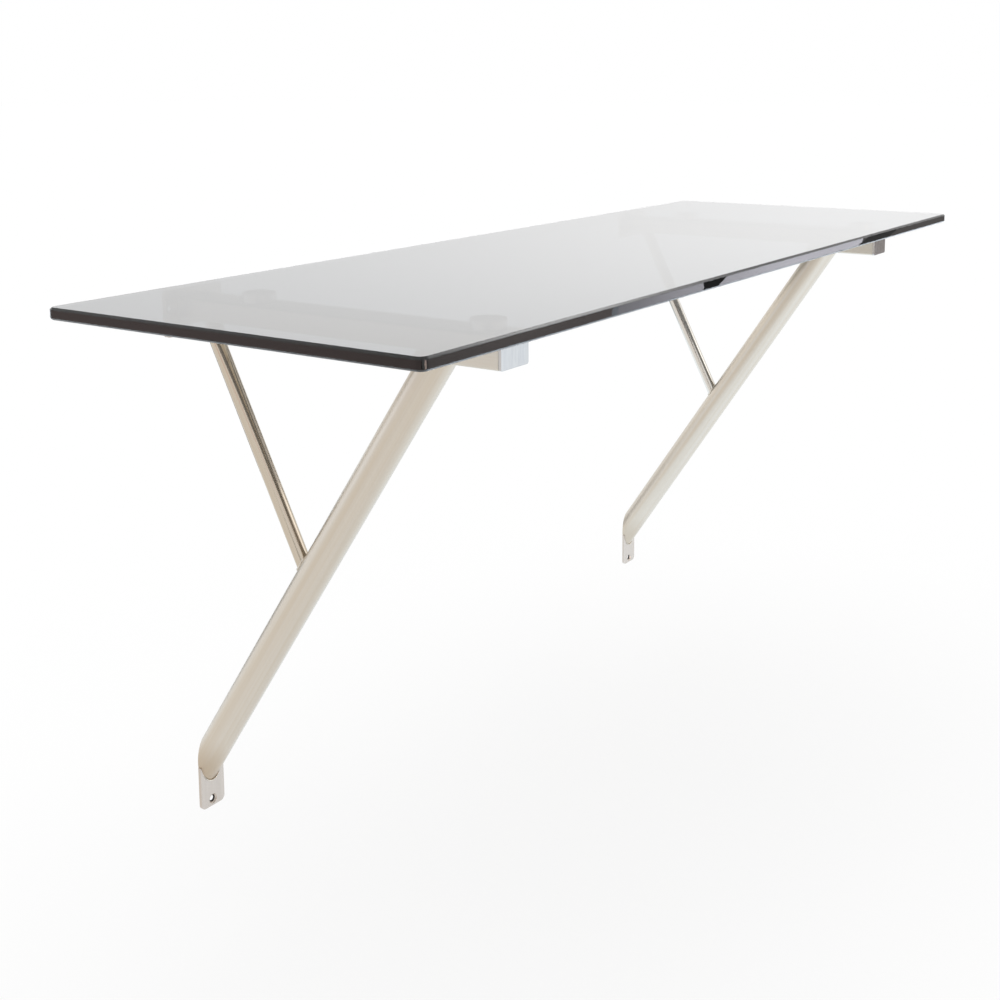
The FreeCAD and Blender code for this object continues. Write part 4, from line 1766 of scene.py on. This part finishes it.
@dataclass
class Studio:
    """The white studio: floor, soft light, panels that shape the reflections, and the camera.

    Attributes:
        floor_level: The floor under a desk of usual height.
        floor_size: The floor's side.
        floor_colour: The floor's paint.
        floor_white: The brightness of the floor's white part, which makes the open floor just white.
        cool_colour: The colour of a painted pool of cool light on the floor's right, which only metal and
            glass mirror.
        cool_white: The brightness of that painted light.
        cool_span: Where that light starts and is full, along X.
        shadow_share: How much of the floor's look is its lit paint, which keeps the shadow.
        ambient: The world's strength for soft light. What is seen of it is white.
        sky_light: The strength of the even light from overhead.
        sky_spread: The angle that the light from overhead is spread over.
        camera: The camera.
        panels: The panels.
    """

    floor_level: float = -0.165
    floor_size: float = 80.0
    floor_colour: str = "#f4f4f4"
    floor_white: float = 1.03
    cool_colour: str = "#e9f4ff"
    cool_white: float = 1.6
    cool_span: tuple[float, float] = (-0.8, 0.0)
    shadow_share: float = 0.25
    ambient: float = 0.6
    sky_light: float = 1.3
    sky_spread: float = math.radians(70)
    camera: DeskCamera = DeskCamera()
    panels: tuple[Panel, ...] = (
        # The bright wall beyond the desk, which the top mirrors
        Panel("back_light", (2.5, 0.85, 1.1), (-0.17, -0.985), 13.0, 1.5, 1.57, 0.97),
        # Light and dark stretches, which the front edge mirrors from beyond its right end
        Panel("edge_light_near", (2.0, -1.2575, 0.195), (-1.0, 0.0), 0.405, 0.71, 3.4, 2.9, "#f6f5ff"),
        Panel("edge_gap_left", (1.98, -1.472, 0.222), (-1.0, 0.0), 0.04, 0.1, 0.1, 0.1, slant=-14),
        Panel("edge_gap_right", (1.97, -1.452, 0.222), (-1.0, 0.0), 0.035, 0.1, 0.12, 0.12, slant=26),
        Panel("edge_light_far", (2.02, -1.53, 0.195), (-1.0, 0.0), 0.5, 0.71, 2.65, 1.8, "#f6f5ff"),
        Panel("edge_flag", (2.0, -0.9175, 0.195), (-1.0, 0.0), 0.275, 0.71, 0.38, 0.38, "#fff8f6"),
        Panel("edge_shade", (1.98, -1.008, 0.372), (-1.0, 0.0), 0.042, 0.1, 0.18, 0.18, slant=40),
        # Cards close to the near edges, which lift their black
        Panel("edge_card_front", (-0.40, -0.54, 0.535), (0.0, 1.0), 0.42, 0.034, 0.9, 0.75, "#fff4f2"),
        Panel("edge_card_left", (-0.76, -0.15, 0.535), (1.0, 0.0), 0.8, 0.034, 0.95, 0.85, "#ffeae6"),
        # The lines along the upper arris and down the near corner
        Panel("arris_light", (2.0, -0.86, 2.2), (-1.0, 0.0), 1.0, 1.5, 4.2, 1.0),
        Panel("corner_light", (-0.55, -2.5, 0.14), (0.0, 1.0), 0.9, 0.55, 6.0, 4.2, "#ffe6da"),
        # The darker room round the camera, and a dark border for the tubes
        Panel("camera_flag", (-2.55, -1.54, 0.25), (0.87, 0.5), 1.87, 0.9, 0.06, 0.06),
        Panel("front_flag", (-0.6, -2.9, 1.9), (0.0, 1.0), 2.2, 1.4, 0.15, 0.25),
        Panel("border_flag", (0.05, 1.2, 0.02), (0.0, -1.0), 0.7, 0.37, 0.3, 0.3),
        # The bright stripes on tubes and rods
        Panel("tube_light", (-1.35, 1.3, 0.45), (0.0, -1.0), 1.2, 0.6, 1.7, 1.3, "#eef4ff"),
        Panel("high_light", (1.84, -2.13, 1.7), (-0.77, 0.64), 2.1, 1.1, 2.4, 1.3, through=4.5),
    )

    def build(self) -> None:
        """Builds the whole studio."""
        bpy.context.scene.view_settings.view_transform = "Standard"
        self.build_world()
        self.build_floor()
        self.build_sky_light()
        for panel in self.panels:
            panel.build()
        self.camera.build()

    @staticmethod
    def seen(tree: bpy.types.NodeTree) -> Link:
        """Finds what the eye sees, directly or in metal or glass.

        Args:
            tree: The surface's nodes.

        Returns:
            1 where it is seen, else 0.
        """
        path = add_node(tree, "ShaderNodeLightPath")
        found: Link = (path, "Is Camera Ray")
        for kind in ("Is Glossy Ray", "Is Transmission Ray"):
            either = add_node(tree, "ShaderNodeMath", {"operation": "MAXIMUM"}, {
                "Value": found, "Value_001": (path, kind),
            })
            found = (either, "Value")
        return found

    def build_world(self) -> None:
        """Builds white surroundings that give a softer light than they show."""
        world = bpy.data.worlds.new("white_studio")
        tree = empty_tree(world)
        strength = add_node(tree, "ShaderNodeMapRange", None, {
            "Value": self.seen(tree), "To Min": self.ambient,
        })
        white = add_node(tree, "ShaderNodeBackground", None, {
            "Color": linear("#ffffff"), "Strength": (strength, "Result"),
        })
        add_node(tree, "ShaderNodeOutputWorld", None, {"Surface": (white, "Background")})
        bpy.context.scene.world = world

    def build_floor(self) -> None:
        """Builds the pale floor, white from above apart from the desk's soft shadow, clear from below."""
        half = self.floor_size / 2
        corners = [(x * half, y * half, self.floor_level) for x, y in SQUARE]
        mesh = new_mesh("floor", corners, faces=[(0, 1, 2, 3)])
        paint = bpy.data.materials.new("white_floor")
        tree = empty_tree(paint)
        place = add_node(tree, "ShaderNodeTexCoord")
        parts = add_node(tree, "ShaderNodeSeparateXYZ", None, {"Vector": (place, "Object")})
        # Painted light: a cool, brighter pool on the floor's right, which only glossy rays see
        on_right = add_node(tree, "ShaderNodeMapRange", {"interpolation_type": "SMOOTHSTEP"}, {
            "Value": (parts, "X"), "From Min": self.cool_span[0], "From Max": self.cool_span[1],
        })
        path = add_node(tree, "ShaderNodeLightPath")
        cool_share = add_node(tree, "ShaderNodeMath", {"operation": "MULTIPLY"}, {
            "Value": (on_right, "Result"), "Value_001": (path, "Is Glossy Ray"),
        })
        lit_share = add_node(tree, "ShaderNodeMapRange", None, {
            "Value": self.seen(tree), "To Min": 1.0, "To Max": self.shadow_share,
        })
        side = add_node(tree, "ShaderNodeNewGeometry")
        white = add_node(tree, "ShaderNodeEmission", None, {"Strength": self.floor_white})
        cool = add_node(tree, "ShaderNodeEmission", None, {
            "Color": linear(self.cool_colour), "Strength": self.cool_white,
        })
        lit = add_node(tree, "ShaderNodeBsdfDiffuse", None, {"Color": linear(self.floor_colour)})
        clear = add_node(tree, "ShaderNodeBsdfTransparent")
        look: Link = (white, "Emission")
        for share, layer in (
            ((cool_share, "Value"), (cool, "Emission")),
            ((lit_share, "Result"), (lit, "BSDF")),
            ((side, "Backfacing"), (clear, "BSDF")),
        ):
            mixed = add_node(tree, "ShaderNodeMixShader", None, {
                "Fac": share, "Shader": look, "Shader_001": layer,
            })
            look = (mixed, "Shader")
        add_node(tree, "ShaderNodeOutputMaterial", None, {"Surface": look})
        mesh.materials.append(paint)
        new_object("floor", mesh)

    def build_sky_light(self) -> None:
        """Builds the broad, even light from overhead, hidden from the glass, where its rim would show."""
        data = bpy.data.lights.new("sky_light", "SUN")
        data.energy = self.sky_light
        data.angle = self.sky_spread
        light = bpy.data.objects.new("sky_light", data)
        light.visible_glossy = False
        bpy.context.scene.collection.objects.link(light)


def main() -> None:
    """Builds the desk and its studio."""
    logging.basicConfig(level=logging.INFO, format="%(name)s %(message)s")
    recipes = Recipes()
    groups: list[SubAssembly] = [GlassTop()]
    for side in Side:
        groups += [RailGroup(side, recipes), StrutGroup(side, recipes)]
    groups.append(GlassFixings(recipes))
    for group in groups:
        group.build()
    Studio().build()


if __name__ == "__main__":
    main()
